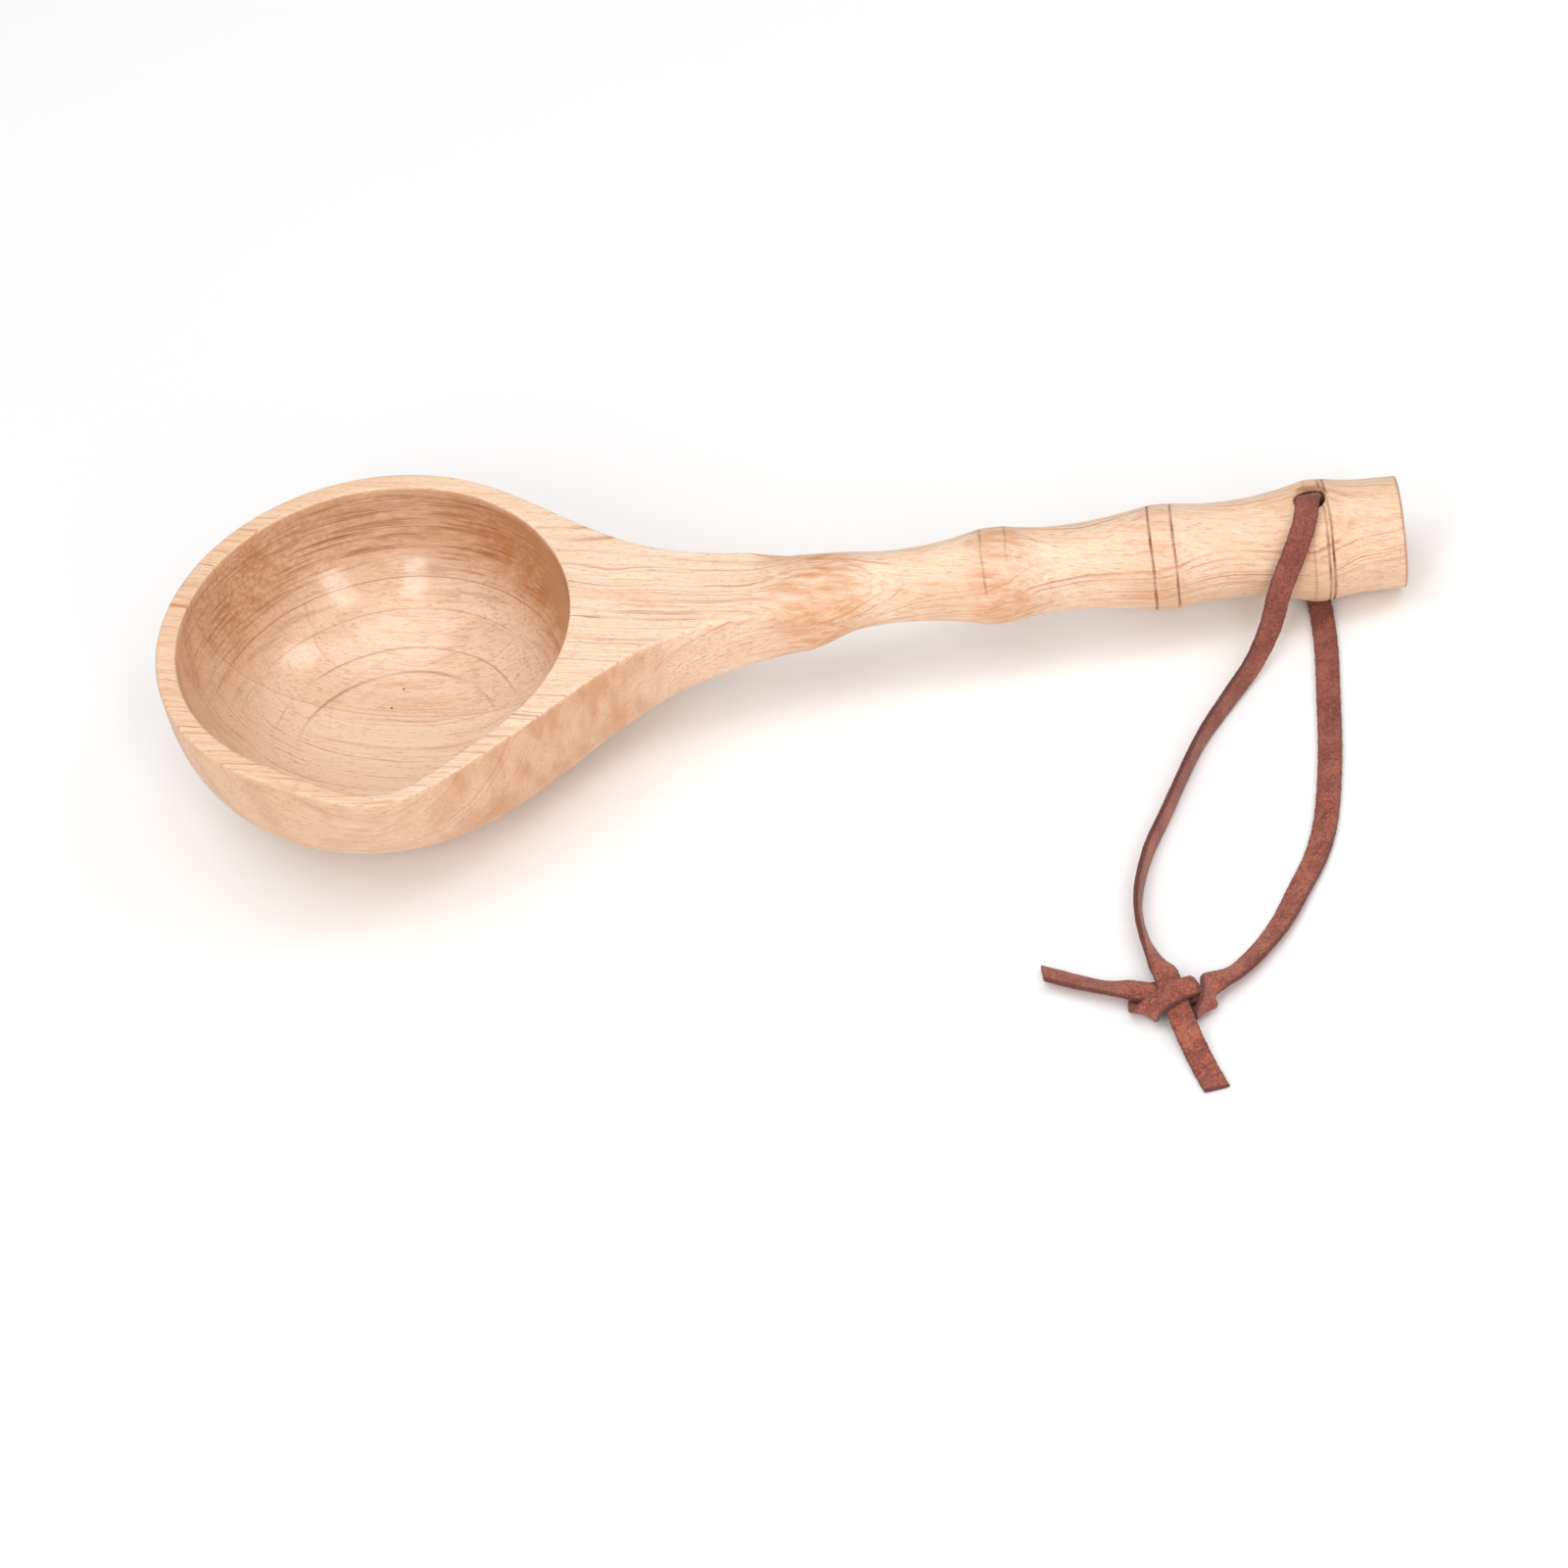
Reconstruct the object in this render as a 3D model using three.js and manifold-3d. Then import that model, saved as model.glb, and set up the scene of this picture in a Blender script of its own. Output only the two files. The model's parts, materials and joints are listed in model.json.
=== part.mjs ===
// A water ladle carved from one block of pale wood: a deep bowl with a pouring lip on its near side,
// a flat-topped neck and a handle shaped like a bamboo cane. A suede lace runs through a hole near
// the handle's end, and its two ends are knotted together.
// Millimetres, +Z up. The ladle is shaped with its rim in the plane z = 0, the bowl's axis on z and
// the handle along +x. It is then pitched until the bowl and the handle's end rest on the floor.
import * as THREE from 'three';
import { mergeVertices } from 'three/addons/utils/BufferGeometryUtils.js';
import Module from 'manifold-3d';

// Bowl. The wall's profile is a superellipse: a fullness of 2 is round, and more is squarer.
const BOWL_INNER_RADIUS = 43.4;
const RIM_WIDTH = 4.6;
const BOWL_DEPTH = 40.5;
const FLOOR_THICKNESS = 6;
const WALL_FULLNESS = 2.6;
const BASE_FULLNESS = 2.9;
const CAVITY_FULLNESS = 2.35;
const RIM_OUTER_BEVEL = 0.9;
const RIM_INNER_BEVEL = 0.6;

// Pouring lip, a swelling of the rim round one direction that dies out down the wall. It starts and is
// full at these parts of the bowl's radius, so that the floor of the bowl stays round.
const LIP_DIRECTION = THREE.MathUtils.degToRad(-87);
const LIP_SPREAD = THREE.MathUtils.degToRad(13);
const LIP_REACH_OUTSIDE = 4.9;
const LIP_REACH_INSIDE = 6.4;
const LIP_HEIGHT = 26;
const LIP_STARTS = 0.6;
const LIP_IS_FULL = 0.85;

// Neck. Its flat top lies in the rim's plane. Slopes are millimetres per millimetre of length.
const NECK_LEAVES_BOWL = THREE.MathUtils.degToRad(57);
const THROAT_FROM_BOWL = 12;
const THROAT_HALF_WIDTH = 15.9;
const THROAT_DEPTH = 27.1;
const THROAT_TAPER = 0.47;
const THROAT_RISE = 0.36;
const NECK_LENGTH = 46;
const NECK_END_HALF_WIDTH = 9.2;
const NECK_END_DEPTH = 20.2;
const NECK_END_TAPER = 0.05;
const NECK_FULLNESS = 2.3;
const FLAT_FADES_BEFORE_NODE = 14;
const FLAT_FADES_AFTER_NODE = 12;

// Handle. Each stretch narrows to a waist and flares to the next node. A node is a short straight
// band, and its rings are burnt grooves, given by their distance from the band's start.
const FIRST_NODE_RADIUS = 11;
const HANDLE_STRETCHES = [
  { length: 39.2, waistAt: 20, waistRadius: 7.8, nodeWidth: 5.4, nodeRadius: 10.35, rings: [0, 5.4] },
  { length: 31.1, waistAt: 10.9, waistRadius: 9.15, nodeWidth: 4.9, nodeRadius: 11.45, rings: [0, 4.9] },
  { length: 29, waistAt: 10.9, waistRadius: 10.6, nodeWidth: 3.8, nodeRadius: 13.3, rings: [3.1, 4.1] },
];
const BUTT_LENGTH = 16.1;
const BUTT_WAIST_AT = 9.6;
const BUTT_WAIST_RADIUS = 12.2;
const BUTT_RADIUS = 12.1;
const BUTT_BEVEL = 0.7;
const RING_WIDTH = 0.9;
const RING_DEPTH = 0.4;
const AXIS_DROP = 5.8;
const FIRST_NODE_SAG = 1.4;
const AXIS_FALL = 1.25;

// Lace, a flat strip of suede, and the hole that it runs through. Each mouth of the hole is eased by a
// flare, which opens by these parts of its width and depth halfway out.
const LACE_WIDTH = 5.1;
const LACE_THICKNESS = 1.3;
const LACE_BEVEL = 0.3;
const LACE_GAP = 0.3;
const HOLE_SLACK = 2.5;
const HOLE_FROM_BUTT = 19;
const HOLE_TOP_FLARE = 0.8;
const HOLE_BOTTOM_FLARE = 3.2;
const FLARE_HALFWAY_OUT = 0.3;
const FLARE_HALFWAY_DOWN = 0.4;

// The lace's route from end to end, in stretches. Each point is a place, measured from the floor under
// the middle of the hole, and the way that the flat face looks there.
const LACE_ROUTE = [
  {
    name: 'lace_lower_tail',
    steps: 6,
    points: [
      [-37.5, -133.1, 0.8, 0, 0, 1],
      [-39, -128.4, 0.8, 0, 0, 1],
      [-40.4, -123.6, 1.4, 0, 0, 1],
      [-41.8, -118.6, 3.1, 0, 0, 1],
      [-42.8, -113.6, 3.8, 0, 0, 1],
      [-43.4, -109.6, 3.77, 0, 0, 1],
    ],
  },
  {
    name: 'lace_front_strand',
    steps: 15,
    points: [
      [-44.3, -104.6, 3.75, 0.1, 0, 1],
      [-46, -99.4, 3.2, 0.75, -0.2, 0.6],
      [-47.7, -93, 2.85, 0.97, -0.1, 0.25],
      [-48.3, -87.1, 2.8, 1, 0, 0.1],
      [-47.9, -80.8, 2.8, 1, -0.15, 0],
      [-45, -70.6, 2.8, 0.93, -0.36, 0],
      [-40.1, -60.4, 2.8, 0.9, -0.43, 0],
      [-30.5, -41.2, 2.8, 0.83, -0.55, 0],
      [-23.7, -31.6, 3, 0.78, -0.6, 0.15],
      [-17, -23.2, 4, 0.6, -0.75, 0.3],
      [-12.2, -17.6, 8, 0.3, -0.9, 0.3],
      [-8.6, -14.6, 15.6, 0, -1, 0.15],
      [-3.8, -11.5, 23.7, 0, -0.75, 0.65],
    ],
  },
  {
    name: 'lace_in_hole',
    steps: 14,
    points: [
      [-1, -7.4, 27, 0, -0.45, 1],
      [0.1, -3.6, 27.9, 0, -0.1, 1],
      [0.7, -0.7, 27.7, 0, 0.4, 0.9],
      [0.95, 0.9, 26, 0, 0.9, 0.4],
      [0.85, 1.15, 23, 0, 1, 0],
      [0, 0.4, 14, 0, 1, 0],
      [-0.95, -0.1, 5, 0, 1, 0],
      [-1.1, -0.7, 2.3, 0, 0.85, -0.5],
      [-1.1, -2.9, 0.85, 0, 0.25, -1],
    ],
  },
  {
    name: 'lace_back_strand',
    steps: 8,
    points: [
      [-0.95, -7, 0.74, 0, 0, -1],
      [-1.1, -17.6, 0.8, 0, 0, -1],
      [-2.5, -33.5, 0.8, 0, 0, -1],
      [-4.6, -52.6, 0.8, 0, 0, -1],
      [-7.7, -69.2, 0.8, 0, 0, -1],
      [-10.6, -77.5, 0.9, 0.07, -0.05, -1],
      [-15.2, -86.1, 1.2, 0.14, -0.1, -0.98],
      [-20, -94.4, 1.5, 0.25, -0.18, -0.95],
      [-25.4, -101, 1.75, 0.3, -0.22, -0.93],
    ],
  },
  {
    name: 'lace_knot',
    steps: 33,
    points: [
      [-30.4, -105.6, 2.3, 0.15, -0.3, -0.95],
      [-33.8, -107.9, 3.6, -0.5, -0.35, -0.8],
      [-35.8, -109.8, 4.7, -0.85, -0.15, -0.5],
      [-36.4, -112.1, 4.5, -0.92, 0.2, -0.3],
      [-37, -113.7, 3.1, -0.35, 0.9, 0.1],
      [-38.4, -113.6, 1.4, 0, 0.3, 0.95],
      [-41.1, -111.8, 0.8, 0, 0, 1],
      [-44.2, -108.6, 0.78, 0, 0, 1],
      [-46.6, -106.3, 0.78, 0, 0, 1],
      [-49.1, -106.4, 0.85, 0.05, -0.05, 1],
      [-50.5, -109, 1.05, 0.08, 0, 1],
      [-50, -111.4, 1.95, 0.45, 0.3, 0.8],
      [-48.5, -112.9, 3.5, 0.8, 0.5, 0],
      [-46.5, -112.5, 5.2, 0.3, 0.1, -0.9],
      [-43.7, -111.1, 5.4, 0, 0, -1],
      [-41, -110, 5.3, 0, 0, -1],
      [-39, -109.4, 4.8, -0.5, -0.1, -0.8],
      [-38.3, -109.1, 3.8, -1, -0.4, 0],
      [-39, -109.3, 2.8, -0.5, -0.2, 0.85],
      [-41.6, -109.4, 2.25, 0, 0, 1],
      [-45, -108.8, 2.25, 0, 0, 1],
    ],
  },
  {
    name: 'lace_left_tail',
    steps: 4,
    points: [
      [-47.3, -108.1, 2.45, 0, 0.05, 0.95],
      [-49.6, -107.3, 3.1, 0.03, 0.06, 0.95],
      [-53, -105.8, 3.2, 0.1, 0.2, 0.94],
      [-57.5, -103.5, 2.2, 0.23, 0.41, 0.88],
      [-62.7, -100.7, 1.9, 0.23, 0.41, 0.88],
      [-69.5, -96.8, 1.9, 0.23, 0.41, 0.88],
    ],
  },
];

// Fineness of the carved surface.
const FLAT_SEGMENTS = 14;
const WALL_SEGMENTS = 24;
const NECK_STEP = 6;
const FLARE_STEPS = 4;
const CAVITY_SECTORS = 56;
const CAVITY_STEPS = 12;
const HOLE_SECTORS = 24;
const CLOSEST_STATIONS = 0.05;
const WELD_DISTANCE = 1e-4;

// Search for the pitch at which the ladle rests.
const STEEPEST_PITCH = THREE.MathUtils.degToRad(30);
const PITCH_HALVINGS = 40;

const WOOD = new THREE.MeshStandardMaterial({ color: 0xe9c798, roughness: 0.55, metalness: 0 });
const SUEDE = new THREE.MeshStandardMaterial({ color: 0x8c5142, roughness: 0.95, metalness: 0 });

const wasm = await Module();
wasm.setup();

// Places along the handle that follow from the sizes above.
const bowlRadius = BOWL_INNER_RADIUS + RIM_WIDTH;
const neckLeavesAt = bowlRadius * Math.cos(NECK_LEAVES_BOWL);
const throatAt = bowlRadius + THROAT_FROM_BOWL;
const firstNodeAt = bowlRadius + NECK_LENGTH;
const flatEndsAt = firstNodeAt + FLAT_FADES_AFTER_NODE;
const handle = placeHandle();
const buttAt = handle.at(-1).end;
const holeAt = buttAt - HOLE_FROM_BUTT;
const holeRadius = (LACE_WIDTH + HOLE_SLACK) / 2;

function placeHandle() {
  const spans = [];
  let start = firstNodeAt;
  let startRadius = FIRST_NODE_RADIUS;
  for (const stretch of HANDLE_STRETCHES) {
    const node = start + stretch.length;
    const rings = stretch.rings.map((offset) => node + offset);
    const { waistAt, waistRadius, nodeRadius, nodeWidth } = stretch;
    const end = node + nodeWidth;
    spans.push({ start, startRadius, waist: start + waistAt, waistRadius, node, nodeRadius, end, rings });
    start = end;
    startRadius = nodeRadius;
  }
  const end = start + BUTT_LENGTH;
  const waist = start + BUTT_WAIST_AT;
  const butt = { waist, waistRadius: BUTT_WAIST_RADIUS, node: end, nodeRadius: BUTT_RADIUS, rings: [] };
  spans.push({ start, startRadius, end, ...butt });
  return spans;
}

function smooth(from, to, x) {
  return THREE.MathUtils.smoothstep(x, from, to);
}

// A cubic from one height and slope to another.
function cubic(x, x0, y0, slope0, x1, y1, slope1) {
  const h = x1 - x0;
  const s = (x - x0) / h;
  const near = (2 * s - 3) * s * s + 1;
  return near * y0 + (1 - near) * y1 + h * s * (1 - s) * ((1 - s) * slope0 - s * slope1);
}

// Half the width of the flat top: the bowl's circle, then two cubics down the neck.
function halfWidth(x) {
  if (x < neckLeavesAt) return Math.sqrt(bowlRadius ** 2 - x ** 2);
  const leaveWidth = bowlRadius * Math.sin(NECK_LEAVES_BOWL);
  const leaveSlope = -1 / Math.tan(NECK_LEAVES_BOWL);
  const throat = [throatAt, THROAT_HALF_WIDTH, -THROAT_TAPER];
  if (x < throatAt) return cubic(x, neckLeavesAt, leaveWidth, leaveSlope, ...throat);
  const end = [firstNodeAt, NECK_END_HALF_WIDTH, -NECK_END_TAPER];
  return cubic(Math.min(x, firstNodeAt), ...throat, ...end);
}

// Depth of the underside below the rim, from the bowl's base to the first node.
function keelDepth(x) {
  const throat = [throatAt, THROAT_DEPTH, -THROAT_RISE];
  if (x < throatAt) return cubic(x, 0, BOWL_DEPTH, 0, ...throat);
  return cubic(Math.min(x, firstNodeAt), ...throat, firstNodeAt, NECK_END_DEPTH, -NECK_END_TAPER);
}

// Radius of the round handle: a parabola from each waist to the nodes beside it, less the grooves.
function handleRadius(x) {
  const span = handle.find((s) => x <= s.end) ?? handle.at(-1);
  if (x <= span.start) return span.startRadius;
  let radius = span.nodeRadius;
  if (x < span.waist) {
    const s = (span.waist - x) / (span.waist - span.start);
    radius = span.waistRadius + (span.startRadius - span.waistRadius) * s * s;
  } else if (x < span.node) {
    const s = (x - span.waist) / (span.node - span.waist);
    radius = span.waistRadius + (span.nodeRadius - span.waistRadius) * s * s;
  }
  const rings = handle.flatMap((s) => s.rings);
  const groove = rings.map((at) => Math.max(0, 1 - (2 * Math.abs(x - at)) / RING_WIDTH));
  const bevel = Math.max(0, x - (buttAt - BUTT_BEVEL));
  return radius - RING_DEPTH * Math.max(...groove) - bevel;
}

// Height of the handle's axis, which sinks slowly towards the butt. The first node stands out only below.
function axisHeight(x) {
  const fall = AXIS_FALL * Math.max(0, (x - firstNodeAt) / (buttAt - firstNodeAt));
  const sag = FIRST_NODE_SAG * (1 - smooth(firstNodeAt, flatEndsAt, x));
  return -AXIS_DROP - fall - sag;
}

// Moves a point of the bowl's wall outwards to make the pouring lip.
function withLip(point, reach) {
  const turn = Math.atan2(point.y, point.x) - LIP_DIRECTION;
  const offset = Math.atan2(Math.sin(turn), Math.cos(turn)) / LIP_SPREAD;
  const radius = Math.hypot(point.x, point.y);
  const atWall = smooth(LIP_STARTS * bowlRadius, LIP_IS_FULL * bowlRadius, radius);
  const fade = 1 - smooth(0, LIP_HEIGHT, -point.z);
  const push = reach * Math.exp(-0.5 * offset * offset) * atWall * fade;
  const scale = radius > 0 ? 1 + push / radius : 1;
  return new THREE.Vector3(point.x * scale, point.y * scale, point.z);
}

// A point on the wall below the rim, at angle a from the rim (0) to the keel (a quarter turn).
function wallPoint(width, depth, side, base, a) {
  const out = width * Math.max(0, Math.cos(a)) ** (2 / side);
  const down = RIM_OUTER_BEVEL + (depth - RIM_OUTER_BEVEL) * Math.sin(a) ** (2 / base);
  return [out, -down];
}

// The closed section at x, from the flat top's far edge across to its near edge and back under the keel.
// It changes from the flat-topped neck to a circle round the handle's axis.
function section(x) {
  const round = smooth(firstNodeAt - FLAT_FADES_BEFORE_NODE, flatEndsAt, x);
  const slim = smooth(neckLeavesAt, firstNodeAt, x);
  const side = THREE.MathUtils.lerp(WALL_FULLNESS, NECK_FULLNESS, slim);
  const base = THREE.MathUtils.lerp(BASE_FULLNESS, NECK_FULLNESS, slim);
  const width = halfWidth(x);
  const depth = keelDepth(x);
  const radius = handleRadius(x);
  const ring = [];
  const axis = axisHeight(x);
  const add = (y, z, angle) => {
    const onNeck = new THREE.Vector3(x, y, z);
    const onHandle = new THREE.Vector3(x, radius * Math.cos(angle), axis + radius * Math.sin(angle));
    ring.push(withLip(onNeck.lerp(onHandle, round), LIP_REACH_OUTSIDE));
  };
  for (let i = 0; i <= FLAT_SEGMENTS; i++) {
    const y = (width - RIM_OUTER_BEVEL) * (1 - (2 * i) / FLAT_SEGMENTS);
    add(y, 0, (Math.PI * (i + 0.5)) / (FLAT_SEGMENTS + 1));
  }
  for (let i = 0; i <= WALL_SEGMENTS; i++) {
    const angle = (Math.PI * i) / WALL_SEGMENTS;
    const fold = Math.min(angle, Math.PI - angle);
    const [out, z] = wallPoint(width, depth, side, base, fold);
    add(angle < Math.PI / 2 ? -out : out, z, Math.PI + angle);
  }
  ring.push(ring[0]);
  return ring;
}

// The half of the bowl away from the handle, in rows round the bowl's axis. Each row runs from the
// line across the bowl to the rim and down the wall to the base.
function bowlEnd() {
  const rows = [];
  for (let k = 0; k <= FLAT_SEGMENTS; k++) {
    const turn = Math.PI / 2 + (Math.PI * k) / FLAT_SEGMENTS;
    const flat = bowlRadius - RIM_OUTER_BEVEL;
    const row = [new THREE.Vector3(0, flat * (1 - (2 * k) / FLAT_SEGMENTS), 0)];
    const profile = [[flat, 0]];
    for (let i = 0; i <= WALL_SEGMENTS / 2; i++) {
      const angle = (Math.PI * i) / WALL_SEGMENTS;
      profile.push(wallPoint(bowlRadius, BOWL_DEPTH, WALL_FULLNESS, BASE_FULLNESS, angle));
    }
    for (const [r, z] of profile) {
      row.push(new THREE.Vector3(r * Math.cos(turn), r * Math.sin(turn), z));
    }
    rows.push(row.map((point) => withLip(point, LIP_REACH_OUTSIDE)));
  }
  return rows;
}

// Stations along the neck and handle, closer together at the grooves and the rounded end.
function stations() {
  const places = new Set();
  const neckSteps = Math.round(firstNodeAt / NECK_STEP);
  for (let i = 0; i <= neckSteps; i++) places.add((firstNodeAt * i) / neckSteps);
  for (const { start, waist, node, end, rings } of handle) {
    for (let i = 1; i <= FLARE_STEPS; i++) {
      places.add(start + ((waist - start) * i) / FLARE_STEPS);
      places.add(waist + ((node - waist) * i) / FLARE_STEPS);
    }
    places.add(end);
    for (const at of rings) {
      for (const offset of [-0.5, 0, 0.5]) places.add(at + offset * RING_WIDTH);
    }
  }
  places.add(buttAt - BUTT_BEVEL);
  const sorted = [...places].sort((a, b) => a - b);
  return sorted.filter((x, i) => i === 0 || x - sorted[i - 1] > CLOSEST_STATIONS);
}

// Triangles over a grid of points, seen anticlockwise from where columns, then rows, turn that way.
function skin(rows, triangles) {
  for (let r = 0; r + 1 < rows.length; r++) {
    for (let c = 0; c + 1 < rows[r].length; c++) {
      const [a, b, d, e] = [rows[r][c], rows[r + 1][c], rows[r + 1][c + 1], rows[r][c + 1]];
      triangles.push([a, d, b], [a, e, d]);
    }
  }
  return triangles;
}

function fan(ring, centre, triangles) {
  for (let i = 0; i + 1 < ring.length; i++) triangles.push([ring[i], ring[i + 1], centre]);
  return triangles;
}

function geometryOf(triangles) {
  const geometry = new THREE.BufferGeometry().setFromPoints(triangles.flat());
  return weld(geometry);
}

// Shared vertices merged, and triangles without area dropped.
function weld(geometry) {
  const bare = geometry.clone();
  bare.deleteAttribute('normal');
  bare.deleteAttribute('uv');
  const merged = mergeVertices(bare, WELD_DISTANCE);
  const index = merged.index.array;
  const kept = [];
  for (let i = 0; i < index.length; i += 3) {
    const [a, b, c] = [index[i], index[i + 1], index[i + 2]];
    if (a !== b && b !== c && c !== a) kept.push(a, b, c);
  }
  merged.setIndex(kept);
  return merged;
}

function solid(geometry) {
  const welded = weld(geometry);
  const vertProperties = new Float32Array(welded.attributes.position.array);
  const triVerts = new Uint32Array(welded.index.array);
  return new wasm.Manifold(new wasm.Mesh({ numProp: 3, vertProperties, triVerts }));
}

function geometryFrom(manifold) {
  const { vertProperties, triVerts } = manifold.getMesh();
  const geometry = new THREE.BufferGeometry();
  geometry.setAttribute('position', new THREE.BufferAttribute(vertProperties, 3));
  geometry.setIndex(new THREE.BufferAttribute(triVerts, 1));
  geometry.computeVertexNormals();
  return geometry;
}

// The block before it is hollowed: the bowl's end, the sections along the handle and the flat butt.
function outerShell() {
  const rings = stations().map(section);
  const triangles = skin(rings, skin(bowlEnd(), []));
  fan(rings.at(-1), new THREE.Vector3(buttAt, 0, axisHeight(buttAt)), triangles);
  return geometryOf(triangles);
}

// The hollow of the bowl, turned round its axis, with the lip's channel and a bevel at the rim.
function cavity() {
  const depth = BOWL_DEPTH - FLOOR_THICKNESS;
  const headroom = RIM_WIDTH;
  const profile = [];
  for (let i = 0; i <= CAVITY_STEPS; i++) {
    const a = (Math.PI / 2) * (1 - i / CAVITY_STEPS);
    const out = BOWL_INNER_RADIUS * Math.max(0, Math.cos(a)) ** (2 / CAVITY_FULLNESS);
    const down = RIM_INNER_BEVEL + (depth - RIM_INNER_BEVEL) * Math.sin(a) ** (2 / CAVITY_FULLNESS);
    profile.push(new THREE.Vector2(i === 0 ? 0 : out, -down));
  }
  profile.push(new THREE.Vector2(BOWL_INNER_RADIUS + RIM_INNER_BEVEL, 0));
  profile.push(new THREE.Vector2(BOWL_INNER_RADIUS + RIM_INNER_BEVEL, headroom));
  profile.push(new THREE.Vector2(0, headroom));
  const geometry = new THREE.LatheGeometry(profile, CAVITY_SECTORS);
  geometry.rotateX(Math.PI / 2);
  const place = geometry.attributes.position;
  for (let i = 0; i < place.count; i++) {
    const moved = withLip(new THREE.Vector3().fromBufferAttribute(place, i), LIP_REACH_INSIDE);
    place.setXYZ(i, moved.x, moved.y, moved.z);
  }
  return geometry;
}

// The lace's hole, square to the handle's axis, eased at both mouths.
function laceHole() {
  const reach = handleRadius(holeAt);
  const mouth = (flare, way) => [
    new THREE.Vector2(holeRadius, way * (reach - flare)),
    new THREE.Vector2(holeRadius + FLARE_HALFWAY_OUT * flare, way * (reach - FLARE_HALFWAY_DOWN * flare)),
    new THREE.Vector2(holeRadius + flare, way * reach),
    new THREE.Vector2(holeRadius + 2 * flare, way * (reach + flare)),
  ];
  const bottom = mouth(HOLE_BOTTOM_FLARE, -1).reverse();
  const top = mouth(HOLE_TOP_FLARE, 1);
  const ends = [new THREE.Vector2(0, bottom[0].y), new THREE.Vector2(0, top.at(-1).y)];
  const geometry = new THREE.LatheGeometry([ends[0], ...bottom, ...top, ends[1]], HOLE_SECTORS);
  geometry.rotateX(Math.PI / 2);
  geometry.translate(holeAt, 0, axisHeight(holeAt));
  return geometry;
}

// The pitch that brings the bowl and the handle's underside down to the same level.
function restingPitch(points) {
  const lowest = (pitch, chosen) => {
    const heights = chosen.map((p) => p.z * Math.cos(pitch) - p.x * Math.sin(pitch));
    return heights.reduce((low, h) => Math.min(low, h), Infinity);
  };
  const underBowl = points.filter((p) => p.x < throatAt);
  const underHandle = points.filter((p) => p.x > firstNodeAt);
  let low = 0;
  let high = STEEPEST_PITCH;
  for (let i = 0; i < PITCH_HALVINGS; i++) {
    const middle = (low + high) / 2;
    if (lowest(middle, underHandle) > lowest(middle, underBowl)) low = middle;
    else high = middle;
  }
  return low;
}

function pointsOf(geometry) {
  const place = geometry.attributes.position;
  return Array.from({ length: place.count }, (_, i) => new THREE.Vector3().fromBufferAttribute(place, i));
}

// The carved wood, turned to rest on the floor with the origin under the middle of its box.
function carveLadle() {
  const carved = geometryFrom(solid(outerShell()).subtract(solid(cavity())).subtract(solid(laceHole())));
  const ladle = new THREE.Mesh(carved, WOOD);
  ladle.name = 'ladle_body';
  const resting = new THREE.Group();
  resting.rotation.y = restingPitch(pointsOf(carved));
  resting.add(ladle);
  resting.updateMatrixWorld(true);
  const box = new THREE.Box3().setFromObject(ladle, true);
  const middle = box.getCenter(new THREE.Vector3());
  resting.position.set(-middle.x, -middle.y, -box.min.z);
  resting.updateMatrixWorld(true);
  return resting;
}

// A flat strip along part of the lace's curve, square cut at both ends.
function strip(places, faces, from, to, steps) {
  const [w, t, c] = [LACE_WIDTH / 2, LACE_THICKNESS / 2, LACE_BEVEL];
  const upper = [[w, t - c], [w - c, t], [c - w, t], [-w, t - c]];
  const outline = [...upper, ...upper.map(([u, v]) => [-u, -v])];
  const rings = [];
  for (let i = 0; i <= steps; i++) {
    const at = THREE.MathUtils.lerp(from, to, i / steps);
    const along = places.getTangent(at);
    const across = new THREE.Vector3().crossVectors(faces.getPoint(at), along).normalize();
    const face = new THREE.Vector3().crossVectors(along, across);
    const inset = i === 0 ? LACE_GAP / 2 : i === steps ? -LACE_GAP / 2 : 0;
    const centre = places.getPoint(at).addScaledVector(along, inset);
    const corner = ([u, v]) => centre.clone().addScaledVector(across, u).addScaledVector(face, v);
    const ring = outline.map(corner);
    rings.push([...ring, ring[0]]);
  }
  const triangles = skin(rings, []);
  const middle = (ring) => ring[0].clone().lerp(ring[4], 0.5);
  fan([...rings[0]].reverse(), middle(rings[0]), triangles);
  fan(rings.at(-1), middle(rings.at(-1)), triangles);
  const geometry = geometryOf(triangles);
  geometry.computeVertexNormals();
  return geometry;
}

// The lace as one curve from end to end, cut into its stretches.
function threadLace() {
  const route = LACE_ROUTE.flatMap((stretch) => stretch.points);
  const places = new THREE.CatmullRomCurve3(route.map(([x, y, z]) => new THREE.Vector3(x, y, z)));
  const faces = new THREE.CatmullRomCurve3(route.map(([, , , x, y, z]) => new THREE.Vector3(x, y, z)));
  const lace = new THREE.Group();
  let first = 0;
  for (const { name, steps, points } of LACE_ROUTE) {
    const next = first + points.length;
    const last = Math.min(next, route.length - 1);
    const geometry = strip(places, faces, first / (route.length - 1), last / (route.length - 1), steps);
    const mesh = new THREE.Mesh(geometry, SUEDE);
    mesh.name = name;
    lace.add(mesh);
    first = next;
  }
  return lace;
}

const resting = carveLadle();
const lace = threadLace();
const holeMiddle = resting.localToWorld(new THREE.Vector3(holeAt, 0, axisHeight(holeAt)));
lace.position.set(holeMiddle.x, holeMiddle.y, 0);

const ladle = new THREE.Group();
ladle.add(resting, lace);

export default ladle;
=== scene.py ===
import json
import math

import bmesh
import bpy
import numpy as np
from mathutils import Matrix, Vector


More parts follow.
